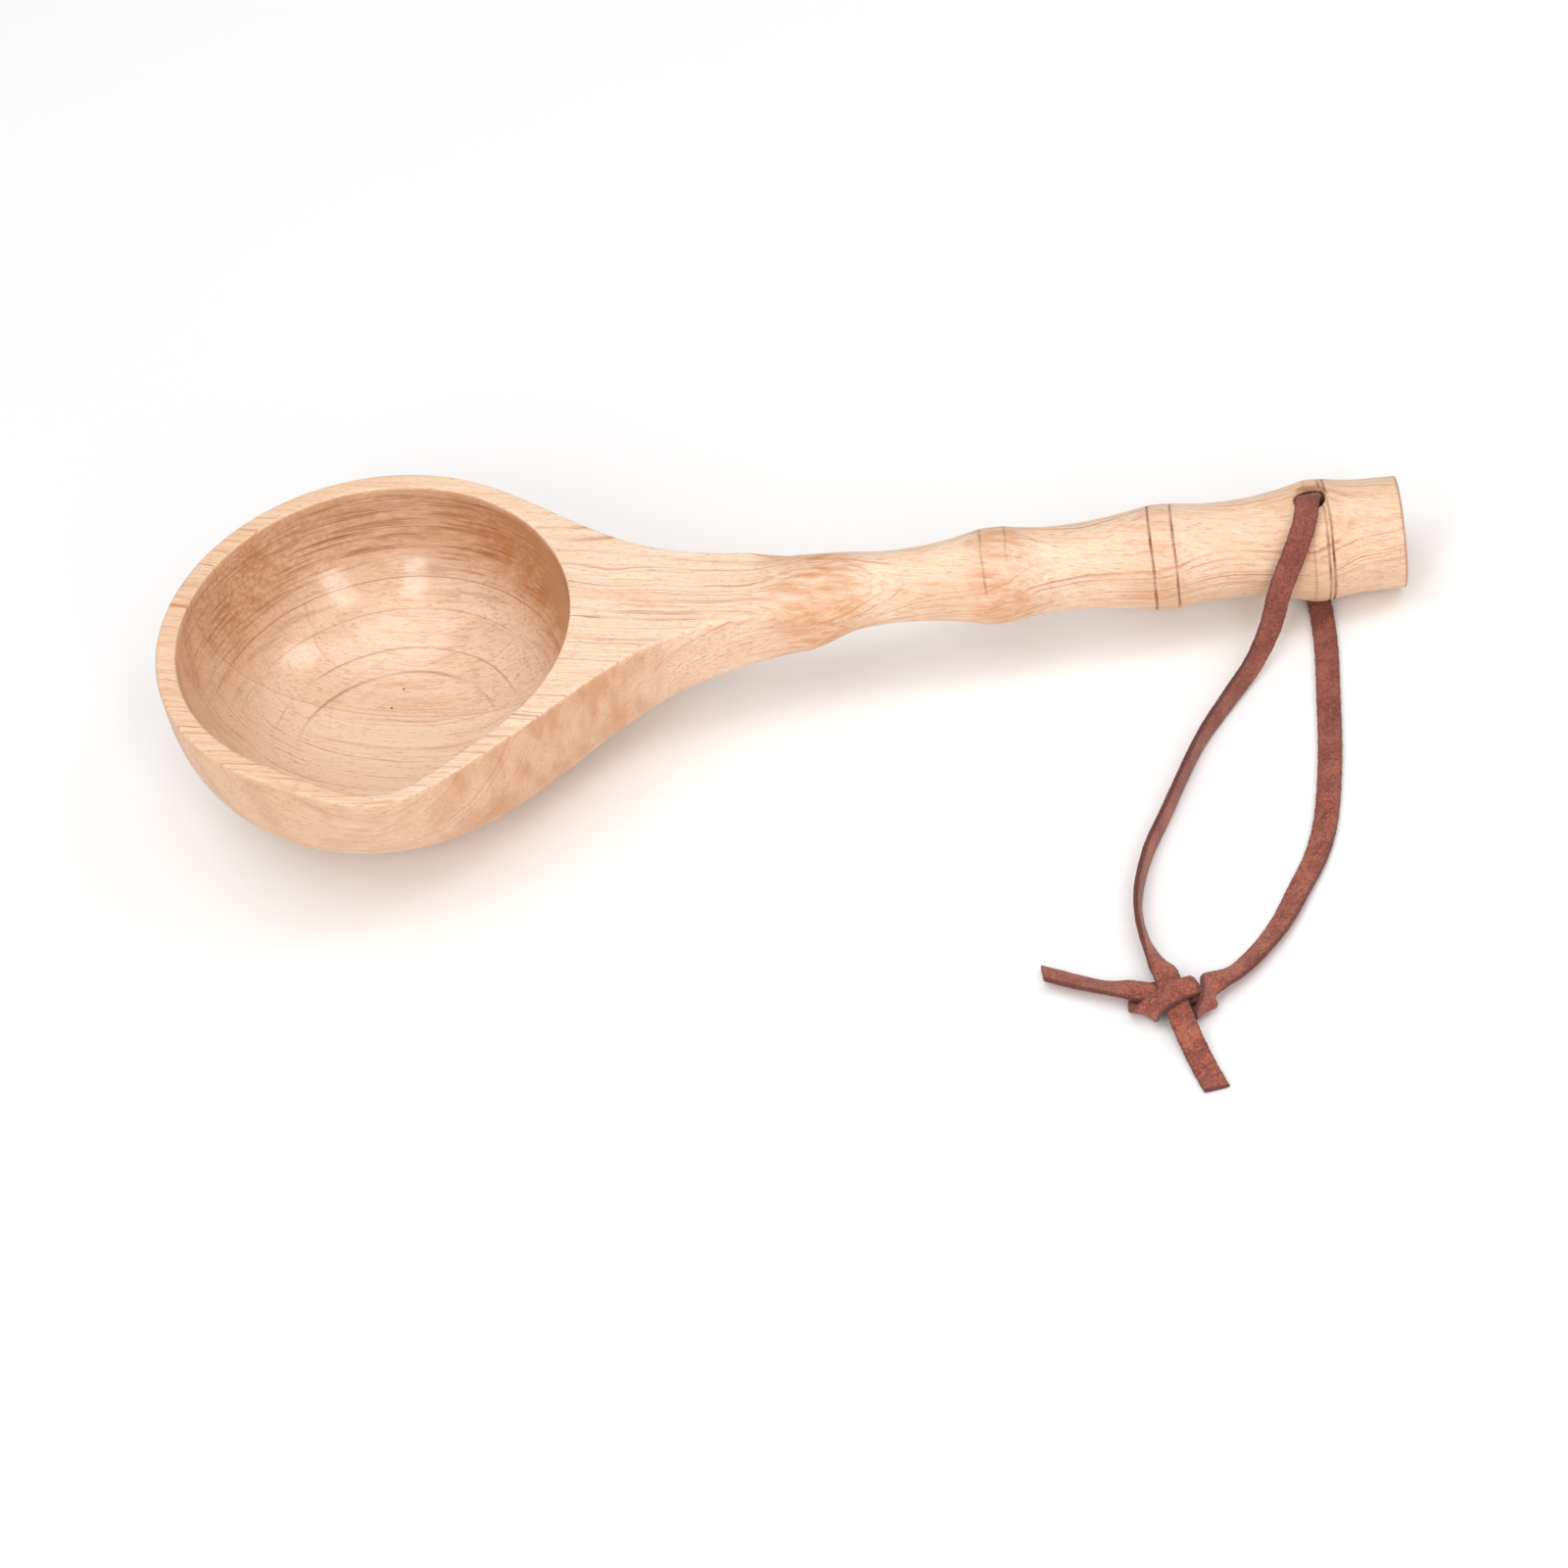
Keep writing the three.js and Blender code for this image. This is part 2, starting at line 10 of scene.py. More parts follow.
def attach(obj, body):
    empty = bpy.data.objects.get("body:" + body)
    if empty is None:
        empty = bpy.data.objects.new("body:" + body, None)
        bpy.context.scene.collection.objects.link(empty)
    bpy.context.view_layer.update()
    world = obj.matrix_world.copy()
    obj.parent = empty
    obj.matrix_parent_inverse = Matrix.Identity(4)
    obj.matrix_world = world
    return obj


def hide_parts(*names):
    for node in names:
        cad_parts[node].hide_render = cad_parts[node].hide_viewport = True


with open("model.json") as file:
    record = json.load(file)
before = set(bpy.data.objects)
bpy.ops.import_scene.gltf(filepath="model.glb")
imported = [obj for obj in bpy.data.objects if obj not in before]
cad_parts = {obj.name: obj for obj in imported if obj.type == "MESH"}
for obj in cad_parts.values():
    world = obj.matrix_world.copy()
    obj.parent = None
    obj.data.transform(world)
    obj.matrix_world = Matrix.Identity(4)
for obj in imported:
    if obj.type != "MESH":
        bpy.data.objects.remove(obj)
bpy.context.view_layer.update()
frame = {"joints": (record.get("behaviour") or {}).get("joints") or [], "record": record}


# Camera. It looks down on the ladle from the lip's side through a long lens, and is rolled so that the
# handle runs nearly level across the picture.
CAMERA_PLACE = Vector((0.12056, -0.68209, 0.69802))
CAMERA_AIM = Vector((-0.00567, -0.02733, 0))
CAMERA_ROLL = math.radians(-18.24)
HALF_VIEW = math.radians(10)
SENSOR_MM = 36

camera = bpy.data.objects.new("camera", bpy.data.cameras.new("camera"))
bpy.context.scene.collection.objects.link(camera)
bpy.context.scene.camera = camera
camera.data.sensor_width = SENSOR_MM
camera.data.lens = SENSOR_MM / 2 / math.tan(HALF_VIEW)
level = (CAMERA_AIM - CAMERA_PLACE).to_track_quat("-Z", "Y").to_matrix().to_4x4()
camera.matrix_world = Matrix.Translation(CAMERA_PLACE) @ level @ Matrix.Rotation(CAMERA_ROLL, 4, "Z")


# Studio. A white sweep for a floor, lit by two soft boxes in front, one above and one on the right, with
# white light all round. The boxes stand where the bowl's satin wall mirrors them in the photograph.
FLOOR_SIDE = 6.0
FLOOR_DROP = 0.0001
FLOOR_WHITE = (0.93, 0.93, 0.93, 1)
FLOOR_ROUGHNESS = 0.9
SKY_WHITE = (1, 1, 1, 1)
SKY_STRENGTH = 0.53
SOFT_BOXES = {
    "box_above": {"place": (-0.10, -0.15, 1.50), "size": (1.2, 1.2), "watts": 8.8},
    "box_front_left": {"place": (-0.52, -1.12, 0.92), "size": (0.3, 1.0), "watts": 4.5},
    "box_front_right": {"place": (0.54, -1.13, 0.77), "size": (0.3, 1.0), "watts": 5.0},
    "box_right": {"place": (0.90, 0.0, 1.15), "size": (0.35, 0.5), "watts": 2.5},
}

half = FLOOR_SIDE / 2
corners = [(-half, -half), (half, -half), (half, half), (-half, half)]
floor_mesh = bpy.data.meshes.new("floor")
floor_mesh.from_pydata([(x, y, -FLOOR_DROP) for x, y in corners], [], [(0, 1, 2, 3)])
floor = bpy.data.objects.new("floor", floor_mesh)
bpy.context.scene.collection.objects.link(floor)
floor_paint = bpy.data.materials.new("floor_paint")
floor_paint.use_nodes = True
floor_shader = floor_paint.node_tree.nodes["Principled BSDF"]
floor_shader.inputs["Base Color"].default_value = FLOOR_WHITE
floor_shader.inputs["Roughness"].default_value = FLOOR_ROUGHNESS
floor_mesh.materials.append(floor_paint)

sky = bpy.data.worlds.new("sky")
sky.use_nodes = True
sky_light = sky.node_tree.nodes["Background"]
sky_light.inputs["Color"].default_value = SKY_WHITE
sky_light.inputs["Strength"].default_value = SKY_STRENGTH
bpy.context.scene.world = sky
bpy.context.scene.view_settings.view_transform = "Standard"

for name, box in SOFT_BOXES.items():
    light = bpy.data.lights.new(name, "AREA")
    light.shape = "RECTANGLE"
    light.size, light.size_y = box["size"]
    light.energy = box["watts"]
    lamp = bpy.data.objects.new(name, light)
    bpy.context.scene.collection.objects.link(lamp)
    lamp.location = box["place"]
    lamp.rotation_euler = (-Vector(box["place"])).to_track_quat("-Z", "Y").to_euler()


# Ladle body. One block of pale, close-grained wood: the bowl is hollowed with a pouring lip on its near
# side, and the handle is carved like a cane, with scorched rings at its nodes. The lace's hole is drilled
# through near the end, and its upper mouth is left a little torn.

# Sizes are millimetres, with the rim in the plane z = 0, the bowl's axis on z and the handle along +x.
# A hair is a length too small to see.
MM = 0.001
HAIR = 1e-6
BOWL_INNER_RADIUS = 43.4
RIM_WIDTH = 4.6
BOWL_RADIUS = BOWL_INNER_RADIUS + RIM_WIDTH
BOWL_DEPTH = 40.5
FLOOR_THICKNESS = 6
WALL_FULLNESS = 2.6
BASE_FULLNESS = 2.9
CAVITY_FULLNESS = 2.35
RIM_OUTER_ROUND = 0.8
RIM_INNER_ROUND = 0.6
VARNISH_FADES_OVER = 1.2

LIP_DIRECTION = math.radians(-87)
LIP_SPREAD = math.radians(13)
LIP_REACH_OUTSIDE = 4.9
LIP_REACH_INSIDE = 6.4
LIP_HEIGHT = 26
LIP_STARTS = 0.6
LIP_IS_FULL = 0.85

NECK_LEAVES_BOWL = math.radians(57)
FIRST_NODE_AT = 94
FLAT_FADES_FROM = 80
FLAT_ENDS_AT = 106
NECK_FULLNESS = 2.3
NECK_FACE_AT = 62
# Places along x with a half width or a depth and its slope there.
NECK_LEAVES = (
    BOWL_RADIUS * math.cos(NECK_LEAVES_BOWL),
    BOWL_RADIUS * math.sin(NECK_LEAVES_BOWL),
    -1 / math.tan(NECK_LEAVES_BOWL),
)
THROAT_PLAN = (60, 15.9, -0.47)
NECK_END_PLAN = (FIRST_NODE_AT, 9.2, -0.05)
BOWL_BASE = (0, BOWL_DEPTH, 0)
THROAT_KEEL = (60, 27.1, -0.36)
NECK_END_KEEL = (FIRST_NODE_AT, 20.2, -0.05)

FIRST_NODE_RADIUS = 11
# Each stretch of the handle: its length, its waist's place and radius, and its node's width and radius.
STRETCHES = [
    (39.2, 20, 7.8, 5.4, 10.35),
    (31.1, 10.9, 9.15, 4.9, 11.45),
    (29, 10.9, 10.6, 3.8, 13.3),
    (16.1, 9.6, 12.2, 0, 12.1),
]
AXIS_DROP = 5.8
AXIS_FALL = 1.25
FIRST_NODE_SAG = 1.4
BUTT_ROUND = 0.4
# Waves in the carved surface: their height, their count round the handle, the length along it that shifts
# them by a radian, and their phase.
CARVED_UNEVEN = 0.09
CARVED_WAVES = [(1, 2, 23, 0.6), (0.6, 3, -13, 0), (0.4, 5, 9, 0)]

# Rings: the node they are on, their distance from its start, the groove's depth, how dark it is burnt, and
# the turn from the far side over the top at which it dies out.
ALL_ROUND = 9
RINGS = [
    {"node": 0, "from_start": 0, "depth": 0.14, "burn": 0.45, "dies_at": 2.75},
    {"node": 0, "from_start": 5.4, "depth": 0.1, "burn": 0.4, "dies_at": 2.0},
    {"node": 1, "from_start": 0, "depth": 0.24, "burn": 1, "dies_at": ALL_ROUND},
    {"node": 1, "from_start": 4.9, "depth": 0.24, "burn": 0.9, "dies_at": ALL_ROUND},
    {"node": 2, "from_start": 0, "depth": 0.08, "burn": 0.4, "dies_at": ALL_ROUND},
    {"node": 2, "from_start": 3.1, "depth": 0.2, "burn": 0.75, "dies_at": ALL_ROUND},
    {"node": 2, "from_start": 4.1, "depth": 0.24, "burn": 1, "dies_at": ALL_ROUND},
]
RING_HALF_WIDTH = 0.52
RING_FADE = 0.2
UNDERSIDE = (4.4, 5.8)
RING_JOG = 0.16
# How a ring wanders: each wave's height, its count round the handle and its shift from node to node.
RING_WAVES = [(1, 2, 1.7), (0.5, 5, 2.3)]
CUTS_MEET_AT = 2.0
CUTS_MISS_BY = 0.3
CUTS_DIFFER = 2.6
SCORCH_CORE = (0.1, 0.9)
SCORCH_UNEVEN = 0.28

HOLE_RADIUS = 3.3
HOLE_FROM_BUTT = 19.25
HOLE_TOP_FLARE = 0.6
HOLE_BOTTOM_FLARE = 3.2
# The torn mouth: waves in its edge and in its fibres' lengths, each a height, a count and a phase. The tear
# grows to its full size over FAR_SIDE, which is how far round to the far side a place on the edge is.
HOLE_TEAR = 0.22
TORN_TO = 1.6
TORN_WAVES = [(0.5, 7, 0.4), (0.3, 17, 1.9), (0.2, 31, 0.7)]
TORN_ELSEWHERE = 0.4
TORN_EDGE = (0.9, 1)
FAR_SIDE = (0.1, 0.8)
FAR_SIDE_LEAN = 0.3
FIBRE_LENGTH = 0.82
FIBRE_WAVES = [(0.08, 19, 0), (0.1, 43, 1)]
FIBRE_LIFT = 0.2
FIBRE_COUNT = 37

# Counts of steps in the grids of points, and the lengths and turns that they are spread over.
QUARTER_STEPS = 64
SIDE_STEPS = 28
ROUND_STEPS = 5
CAVITY_STEPS = 46
THROAT_STEP = 1.0
HANDLE_STEP = 0.8
SMALLEST_STEP = 0.04
RING_STEPS = 19
RING_REACH = 1.2
EDGE_SPAN = 0.12
BUTT_STEPS = 12
HOLE_SIDE_STEPS = 14
HOLE_REACH = 8.6
MOUTH_STEPS = 25
MOUTH_CROWDING = 0.6
MOUTH_ROUND_STEPS = 11
BORE_STEPS = 12
LADLE_MERGE = 0.002

handle_spans = []
place = FIRST_NODE_AT
radius_before = FIRST_NODE_RADIUS
for length, waist_at, waist_radius, node_width, node_radius in STRETCHES:
    node = place + length
    handle_spans.append({
        "start": place,
        "start_radius": radius_before,
        "waist": place + waist_at,
        "waist_radius": waist_radius,
        "node": node,
        "node_radius": node_radius,
        "end": node + node_width,
    })
    place = node + node_width
    radius_before = node_radius
BUTT_AT = place
HOLE_AT = BUTT_AT - HOLE_FROM_BUTT
ring_places = [handle_spans[ring["node"]]["node"] + ring["from_start"] for ring in RINGS]


def eased(low, high, x):
    """0 up to low, 1 from high, and a cubic without corners between."""
    t = np.clip((x - low) / (high - low), 0, 1)
    return t * t * (3 - 2 * t)


def cubic(x, start, end):
    """A cubic that has the height and slope of both ends, level outside them."""
    (x0, y0, slope0), (x1, y1, slope1) = start, end
    s = np.clip((x - x0) / (x1 - x0), 0, 1)
    near = (2 * s - 3) * s * s + 1
    return near * y0 + (1 - near) * y1 + (x1 - x0) * s * (1 - s) * ((1 - s) * slope0 - s * slope1)


def ripples(turn, waves):
    """A sum of sines round a turn: each wave is its height, its count in the turn and its phase."""
    return sum(height * np.sin(count * turn + phase) for height, count, phase in waves)


def half_width(x):
    """Half the flat top's width: the bowl's circle, then two cubics down the neck."""
    circle = np.sqrt(np.maximum(BOWL_RADIUS**2 - x**2, 0))
    throat = cubic(x, NECK_LEAVES, THROAT_PLAN)
    neck = cubic(x, THROAT_PLAN, NECK_END_PLAN)
    return np.where(x < NECK_LEAVES[0], circle, np.where(x < THROAT_PLAN[0], throat, neck))


def keel_depth(x):
    """Depth of the underside below the rim: two cubics from the bowl's base to the first node."""
    throat = cubic(x, BOWL_BASE, THROAT_KEEL)
    neck = cubic(x, THROAT_KEEL, NECK_END_KEEL)
    return np.where(x < THROAT_KEEL[0], throat, neck)


def axis_height(x):
    """Height of the handle's axis, which sinks slowly to the butt and sags at the first node."""
    fall = AXIS_FALL * np.maximum(0, (x - FIRST_NODE_AT) / (BUTT_AT - FIRST_NODE_AT))
    return -AXIS_DROP - fall - FIRST_NODE_SAG * (1 - eased(FIRST_NODE_AT, FLAT_ENDS_AT, x))


def near_side(begins, turn):
    """0 on the handle's far side, 1 from a turn over the top to the underside, and 0 again after that."""
    return eased(begins - RING_FADE, begins + RING_FADE, turn) * (1 - eased(*UNDERSIDE, turn))


def ring_mark(x, turn, number):
    """1 in the middle of a ring and 0 beside it. The rings of a node wander along x as they go round, their
    two cuts miss each other a little where they meet, and a ring may die out on the near side."""
    ring = RINGS[number]
    waves = [(height, count, shift * ring["node"]) for height, count, shift in RING_WAVES]
    miss = CUTS_MISS_BY * math.cos(CUTS_DIFFER * ring["node"]) * near_side(CUTS_MEET_AT, turn)
    beside = np.abs(x - ring_places[number] - RING_JOG * ripples(turn, waves) - miss)
    return (1 - near_side(ring["dies_at"], turn)) * np.maximum(0, 1 - beside / RING_HALF_WIDTH)


def handle_radius(x, turn):
    """A parabola from each waist to the nodes beside it, less the rings and the butt's round, with the waves
    of the carved surface."""
    radius = np.full(np.broadcast(x, turn).shape, float(FIRST_NODE_RADIUS))
    for span in handle_spans:
        before = np.clip((span["waist"] - x) / (span["waist"] - span["start"]), 0, 1)
        after = np.clip((x - span["waist"]) / (span["node"] - span["waist"]), 0, 1)
        swell = (span["start_radius"] - span["waist_radius"]) * before**2
        swell = swell + (span["node_radius"] - span["waist_radius"]) * after**2
        within = (x > span["start"]) & (x <= span["end"] + HAIR)
        radius = np.where(within, span["waist_radius"] + swell, radius)
    for number, ring in enumerate(RINGS):
        radius = radius - ring["depth"] * ring_mark(x, turn, number)
    past = np.clip(x - (BUTT_AT - BUTT_ROUND), 0, BUTT_ROUND)
    worn = BUTT_ROUND - np.sqrt(BUTT_ROUND**2 - past**2)
    waves = [(height, count, x / along + phase) for height, count, along, phase in CARVED_WAVES]
    return radius - worn + CARVED_UNEVEN * ripples(turn, waves)


def handle_point(x, turn):
    """A place on the round handle, at x and at a turn from the far side over the top."""
    radius = handle_radius(x, turn)
    return np.stack([x + 0 * turn, radius * np.cos(turn), axis_height(x) + radius * np.sin(turn)], axis=-1)


def with_lip(points, reach):
    """Pushes the bowl's wall outwards round one direction by a bell curve, less towards the base."""
    x, y, z = np.moveaxis(points, -1, 0)
    turn = np.arctan2(y, x) - LIP_DIRECTION
    offset = np.arctan2(np.sin(turn), np.cos(turn)) / LIP_SPREAD
    out = np.maximum(np.hypot(x, y), HAIR)
    at_wall = eased(LIP_STARTS * BOWL_RADIUS, LIP_IS_FULL * BOWL_RADIUS, out)
    push = reach * np.exp(-0.5 * offset**2) * at_wall * (1 - eased(0, LIP_HEIGHT, -z))
    return np.stack([x * (1 + push / out), y * (1 + push / out), z], axis=-1)


def wall(width, depth, side, base, fall):
    """Out and up along a superellipse, from the rim (fall 0) to the keel (fall a quarter turn)."""
    out = width * np.maximum(np.cos(fall), 0) ** (2 / side)
    down = RIM_OUTER_ROUND + (depth - RIM_OUTER_ROUND) * np.maximum(np.sin(fall), 0) ** (2 / base)
    return out, -down


def turned_round(out, up, turns):
    """A profile turned round the bowl's axis: its distance out along each turn, at its own height."""
    turns = turns[:, None]
    return np.stack([out * np.cos(turns), out * np.sin(turns), up + 0 * turns], axis=-1)


across = np.linspace(0, 1, SIDE_STEPS + 1)
bend = np.linspace(0, math.pi / 2, ROUND_STEPS + 1)
fall = np.linspace(0, math.pi / 2, SIDE_STEPS + 1)
inner_edge = BOWL_INNER_RADIUS + RIM_INNER_ROUND
outer_edge = BOWL_RADIUS - RIM_OUTER_ROUND
top_reach = LIP_REACH_OUTSIDE + (LIP_REACH_INSIDE - LIP_REACH_OUTSIDE) * across

# Turns round the handle for the columns of a section: the far and near halves of the top, the near edge
# and wall, the far wall and the far edge.
section_turns = np.concatenate([
    np.linspace(EDGE_SPAN, math.pi / 2, SIDE_STEPS + 1),
    np.linspace(math.pi / 2, math.pi - EDGE_SPAN, SIDE_STEPS + 1),
    np.linspace(math.pi - EDGE_SPAN, math.pi + EDGE_SPAN, ROUND_STEPS + 1)[1:],
    np.linspace(math.pi + EDGE_SPAN, 1.5 * math.pi, SIDE_STEPS + 1)[1:],
    np.linspace(1.5 * math.pi, 2 * math.pi - EDGE_SPAN, SIDE_STEPS + 1)[1:],
    np.linspace(2 * math.pi - EDGE_SPAN, 2 * math.pi + EDGE_SPAN, ROUND_STEPS + 1)[1:],
])


def sections(x):
    """Sections across the neck and handle, one row for each x: flat on top with a superellipse below,
    changing to a circle round the handle's axis."""
    x = x[:, None]
    width, depth = half_width(x), keel_depth(x)
    slim = eased(NECK_LEAVES[0], FIRST_NODE_AT, x)
    side = WALL_FULLNESS + (NECK_FULLNESS - WALL_FULLNESS) * slim
    base = BASE_FULLNESS + (NECK_FULLNESS - BASE_FULLNESS) * slim
    opening = np.sqrt(np.maximum(inner_edge**2 - x**2, 0))
    top = (width - RIM_OUTER_ROUND) * (1 - across) + opening * across
    edge_out = width - RIM_OUTER_ROUND * (1 - np.sin(bend[1:]))
    edge_up = RIM_OUTER_ROUND * (np.cos(bend[1:]) - 1) + 0 * x
    out, up = wall(width, depth, side, base, fall[1:])
    start_out, start_up = width - RIM_OUTER_ROUND, 0 * x
    far_out = np.concatenate([out[:, -2::-1], width, edge_out[:, -2::-1], start_out], axis=1)
    far_up = np.concatenate([up[:, -2::-1], edge_up[:, -1:], edge_up[:, -2::-1], start_up], axis=1)
    y = np.concatenate([top, -top[:, ::-1], -edge_out, -out, far_out], axis=1)
    z = np.concatenate([0 * top, 0 * top, edge_up, up, far_up], axis=1)
    reach = np.full(y.shape[1], LIP_REACH_OUTSIDE)
    reach[: SIDE_STEPS + 1] = top_reach
    reach[SIDE_STEPS + 1 : 2 * SIDE_STEPS + 2] = top_reach[::-1]
    flat = with_lip(np.stack([x + 0 * y, y, z], axis=-1), reach)
    rounded = eased(FLAT_FADES_FROM, FLAT_ENDS_AT, x)[..., None]
    return flat * (1 - rounded) + handle_point(x, section_turns[None, :]) * rounded


def scorch(x, turn):
    """How dark the wood is burnt: full in the middle of a ring, uneven along it."""
    dark = np.zeros(np.broadcast(x, turn).shape)
    for number, ring in enumerate(RINGS):
        patchy = np.sin(3 * turn + number) * np.sin(8 * turn + 2 * number)
        burn = ring["burn"] * (1 - SCORCH_UNEVEN + SCORCH_UNEVEN * patchy)
        dark = np.maximum(dark, burn * eased(*SCORCH_CORE, ring_mark(x, turn, number)))
    return dark


# Stations along x: even turns round the bowl, then even steps, closer at the rings and the butt.
bowl_stations = inner_edge * np.cos(np.linspace(math.pi / 2, 0, QUARTER_STEPS + 1))
throat_stations = np.arange(inner_edge + THROAT_STEP, THROAT_PLAN[0], THROAT_STEP)
shaft_stations = np.unique(np.concatenate(
    [np.arange(THROAT_PLAN[0], BUTT_AT - BUTT_ROUND, HANDLE_STEP)]
    + [at + np.linspace(-RING_REACH, RING_REACH, RING_STEPS) for at in ring_places]
    + [BUTT_AT - BUTT_ROUND * (1 - np.sin(bend))]
))
shaft_stations = shaft_stations[np.diff(shaft_stations, prepend=-1) > SMALLEST_STEP]
front_sections = sections(np.concatenate([bowl_stations, throat_stations, shaft_stations[:1]]))
shaft_sections = np.delete(sections(shaft_stations), SIDE_STEPS + 1, axis=1)
shaft_turns = np.delete(section_turns, SIDE_STEPS + 1)

# The bowl's end away from the handle: rim, rounded edge and wall, turned round the bowl's axis.
end_turns = np.linspace(math.pi / 2, 1.5 * math.pi, 2 * QUARTER_STEPS + 1)
wall_out, wall_up = wall(BOWL_RADIUS, BOWL_DEPTH, WALL_FULLNESS, BASE_FULLNESS, fall[1:])
rim_out = inner_edge + (outer_edge - inner_edge) * across
end_out = np.concatenate([rim_out, outer_edge + RIM_OUTER_ROUND * np.sin(bend[1:]), wall_out])
end_up = np.concatenate([0 * rim_out, RIM_OUTER_ROUND * (np.cos(bend[1:]) - 1), wall_up])
end_reach = np.full(end_out.size, LIP_REACH_OUTSIDE)
end_reach[: SIDE_STEPS + 1] = top_reach[::-1]
bowl_end = with_lip(turned_round(end_out, end_up, end_turns), end_reach)

# The hollow: a superellipse from its floor to the rounded inner edge, turned round the bowl's axis.
hollow_turns = np.linspace(0, 2 * math.pi, 4 * QUARTER_STEPS + 1)
rise = np.linspace(math.pi / 2, 0, CAVITY_STEPS + 1)
hollow_depth = BOWL_DEPTH - FLOOR_THICKNESS - RIM_INNER_ROUND
hollow_out = BOWL_INNER_RADIUS * np.maximum(np.cos(rise), 0) ** (2 / CAVITY_FULLNESS)
hollow_up = -RIM_INNER_ROUND - hollow_depth * np.maximum(np.sin(rise), 0) ** (2 / CAVITY_FULLNESS)
hollow_out = np.concatenate([hollow_out, inner_edge - RIM_INNER_ROUND * np.cos(bend[1:])])
hollow_up = np.concatenate([hollow_up, RIM_INNER_ROUND * (np.sin(bend[1:]) - 1)])
hollow_out[0] = 0
hollow = with_lip(turned_round(hollow_out, hollow_up, hollow_turns), LIP_REACH_INSIDE)
varnished = 1 - eased(-VARNISH_FADES_OVER, 0, hollow[..., 2])

# The butt: the last section drawn in to its middle.
shrink = np.linspace(1, 0, BUTT_STEPS)[:, None, None]
butt_middle = np.array([BUTT_AT, 0, axis_height(BUTT_AT)])
butt = butt_middle + shrink * (shaft_sections[-1] - butt_middle)

# The hole: a block of the handle's faces is left out above and below, and rings of points lead from the
# block's border to the mouth, round its eased edge and down the bore.
first_row = np.searchsorted(shaft_stations, HOLE_AT - HOLE_REACH)
last_row = np.searchsorted(shaft_stations, HOLE_AT + HOLE_REACH)
top_column = SIDE_STEPS
under_column = 3 * SIDE_STEPS + ROUND_STEPS


def block_border(middle, way):
    """Rows and columns of the handle's grid round the block, from its far corner nearest the bowl."""
    columns = middle + way * np.arange(-HOLE_SIDE_STEPS, HOLE_SIDE_STEPS + 1)
    rows = np.arange(first_row, last_row + 1)
    round_rows = [
        np.full(columns.size - 1, first_row),
        rows[:-1],
        np.full(columns.size - 1, last_row),
        rows[::-1],
    ]
    round_columns = [
        columns[:-1],
        np.full(rows.size - 1, columns[-1]),
        columns[:0:-1],
        np.full(rows.size, columns[0]),
    ]
    return np.concatenate(round_rows), np.concatenate(round_columns)


def mouth(middle, way, flare, tear):
    """Rows of points from the block's border along the handle to the mouth and round a quarter circle into
    the bore, with how burnt and how torn the wood is there. A torn mouth's edge has waves, and from its far
    side fibres lean over towards the lace."""
    rows, columns = block_border(middle, way)
    x, turn = shaft_stations[rows], shaft_turns[columns]
    bearing = np.arctan2(handle_radius(x, turn) * np.cos(turn), x - HOLE_AT)
    far_side = eased(*FAR_SIDE, np.sin(bearing) + FAR_SIDE_LEAN * np.cos(bearing))
    ragged = tear * ripples(bearing, TORN_WAVES) * (TORN_ELSEWHERE + far_side)
    edge = HOLE_RADIUS + flare + ragged
    edge_x = HOLE_AT + edge * np.cos(bearing)
    edge_turn = way * np.arccos(edge * np.sin(bearing) / handle_radius(edge_x, way * math.pi / 2))
    edge_turn = np.where(way < 0, edge_turn + 2 * math.pi, edge_turn)
    step = np.linspace(0, 1, MOUTH_STEPS)[:, None] ** MOUTH_CROWDING
    on_x = x + (edge_x - x) * step
    on_turn = turn + (edge_turn - turn) * step
    on_handle = handle_point(on_x, on_turn)
    lip = np.linspace(0, math.pi / 2, MOUTH_ROUND_STEPS)[1:, None]
    fibre_reach = np.maximum(0, HOLE_RADIUS * np.sin(bearing) - TORN_TO) * (tear > 0)
    lean = fibre_reach * (FIBRE_LENGTH + ripples(bearing, FIBRE_WAVES)) * np.sin(2 * lip)
    inward = HOLE_RADIUS + flare * (1 - np.sin(lip)) + ragged * np.cos(lip)
    sink = flare * (1 - np.cos(lip)) - FIBRE_LIFT * lean * (1 + np.sin(FIBRE_COUNT * bearing))
    edge_y = inward * np.sin(bearing) - lean
    edge_z = on_handle[-1, :, 2] - way * sink
    eased_edge = np.stack([HOLE_AT + inward * np.cos(bearing), edge_y, edge_z], axis=-1)
    marks = {
        "scorch": np.concatenate([scorch(on_x, on_turn), np.zeros(inward.shape)]),
        "torn": np.concatenate([far_side * eased(*TORN_EDGE, step), far_side + 0 * inward]) * (tear > 0),
    }
    return np.concatenate([on_handle, eased_edge]), marks


top_mouth, top_marks = mouth(top_column, 1, HOLE_TOP_FLARE, HOLE_TEAR)
under_mouth, under_marks = mouth(under_column, -1, HOLE_BOTTOM_FLARE, 0)
down_bore = np.linspace(0, 1, BORE_STEPS)[1:-1, None, None]
bore = top_mouth[-1] + (under_mouth[-1] - top_mouth[-1]) * down_bore
hole = np.concatenate([top_mouth, bore, under_mouth[::-1]])
bare_bore = np.zeros(bore.shape[:2])
hole_marks = {
    mark: np.concatenate([top_marks[mark], bare_bore, under_marks[mark][::-1]]) for mark in ("scorch", "torn")
}
shaft_kept = np.ones((shaft_stations.size - 1, shaft_turns.size - 1), bool)
for column in (top_column, under_column):
    shaft_kept[first_row:last_row, column - HOLE_SIDE_STEPS : column + HOLE_SIDE_STEPS] = False

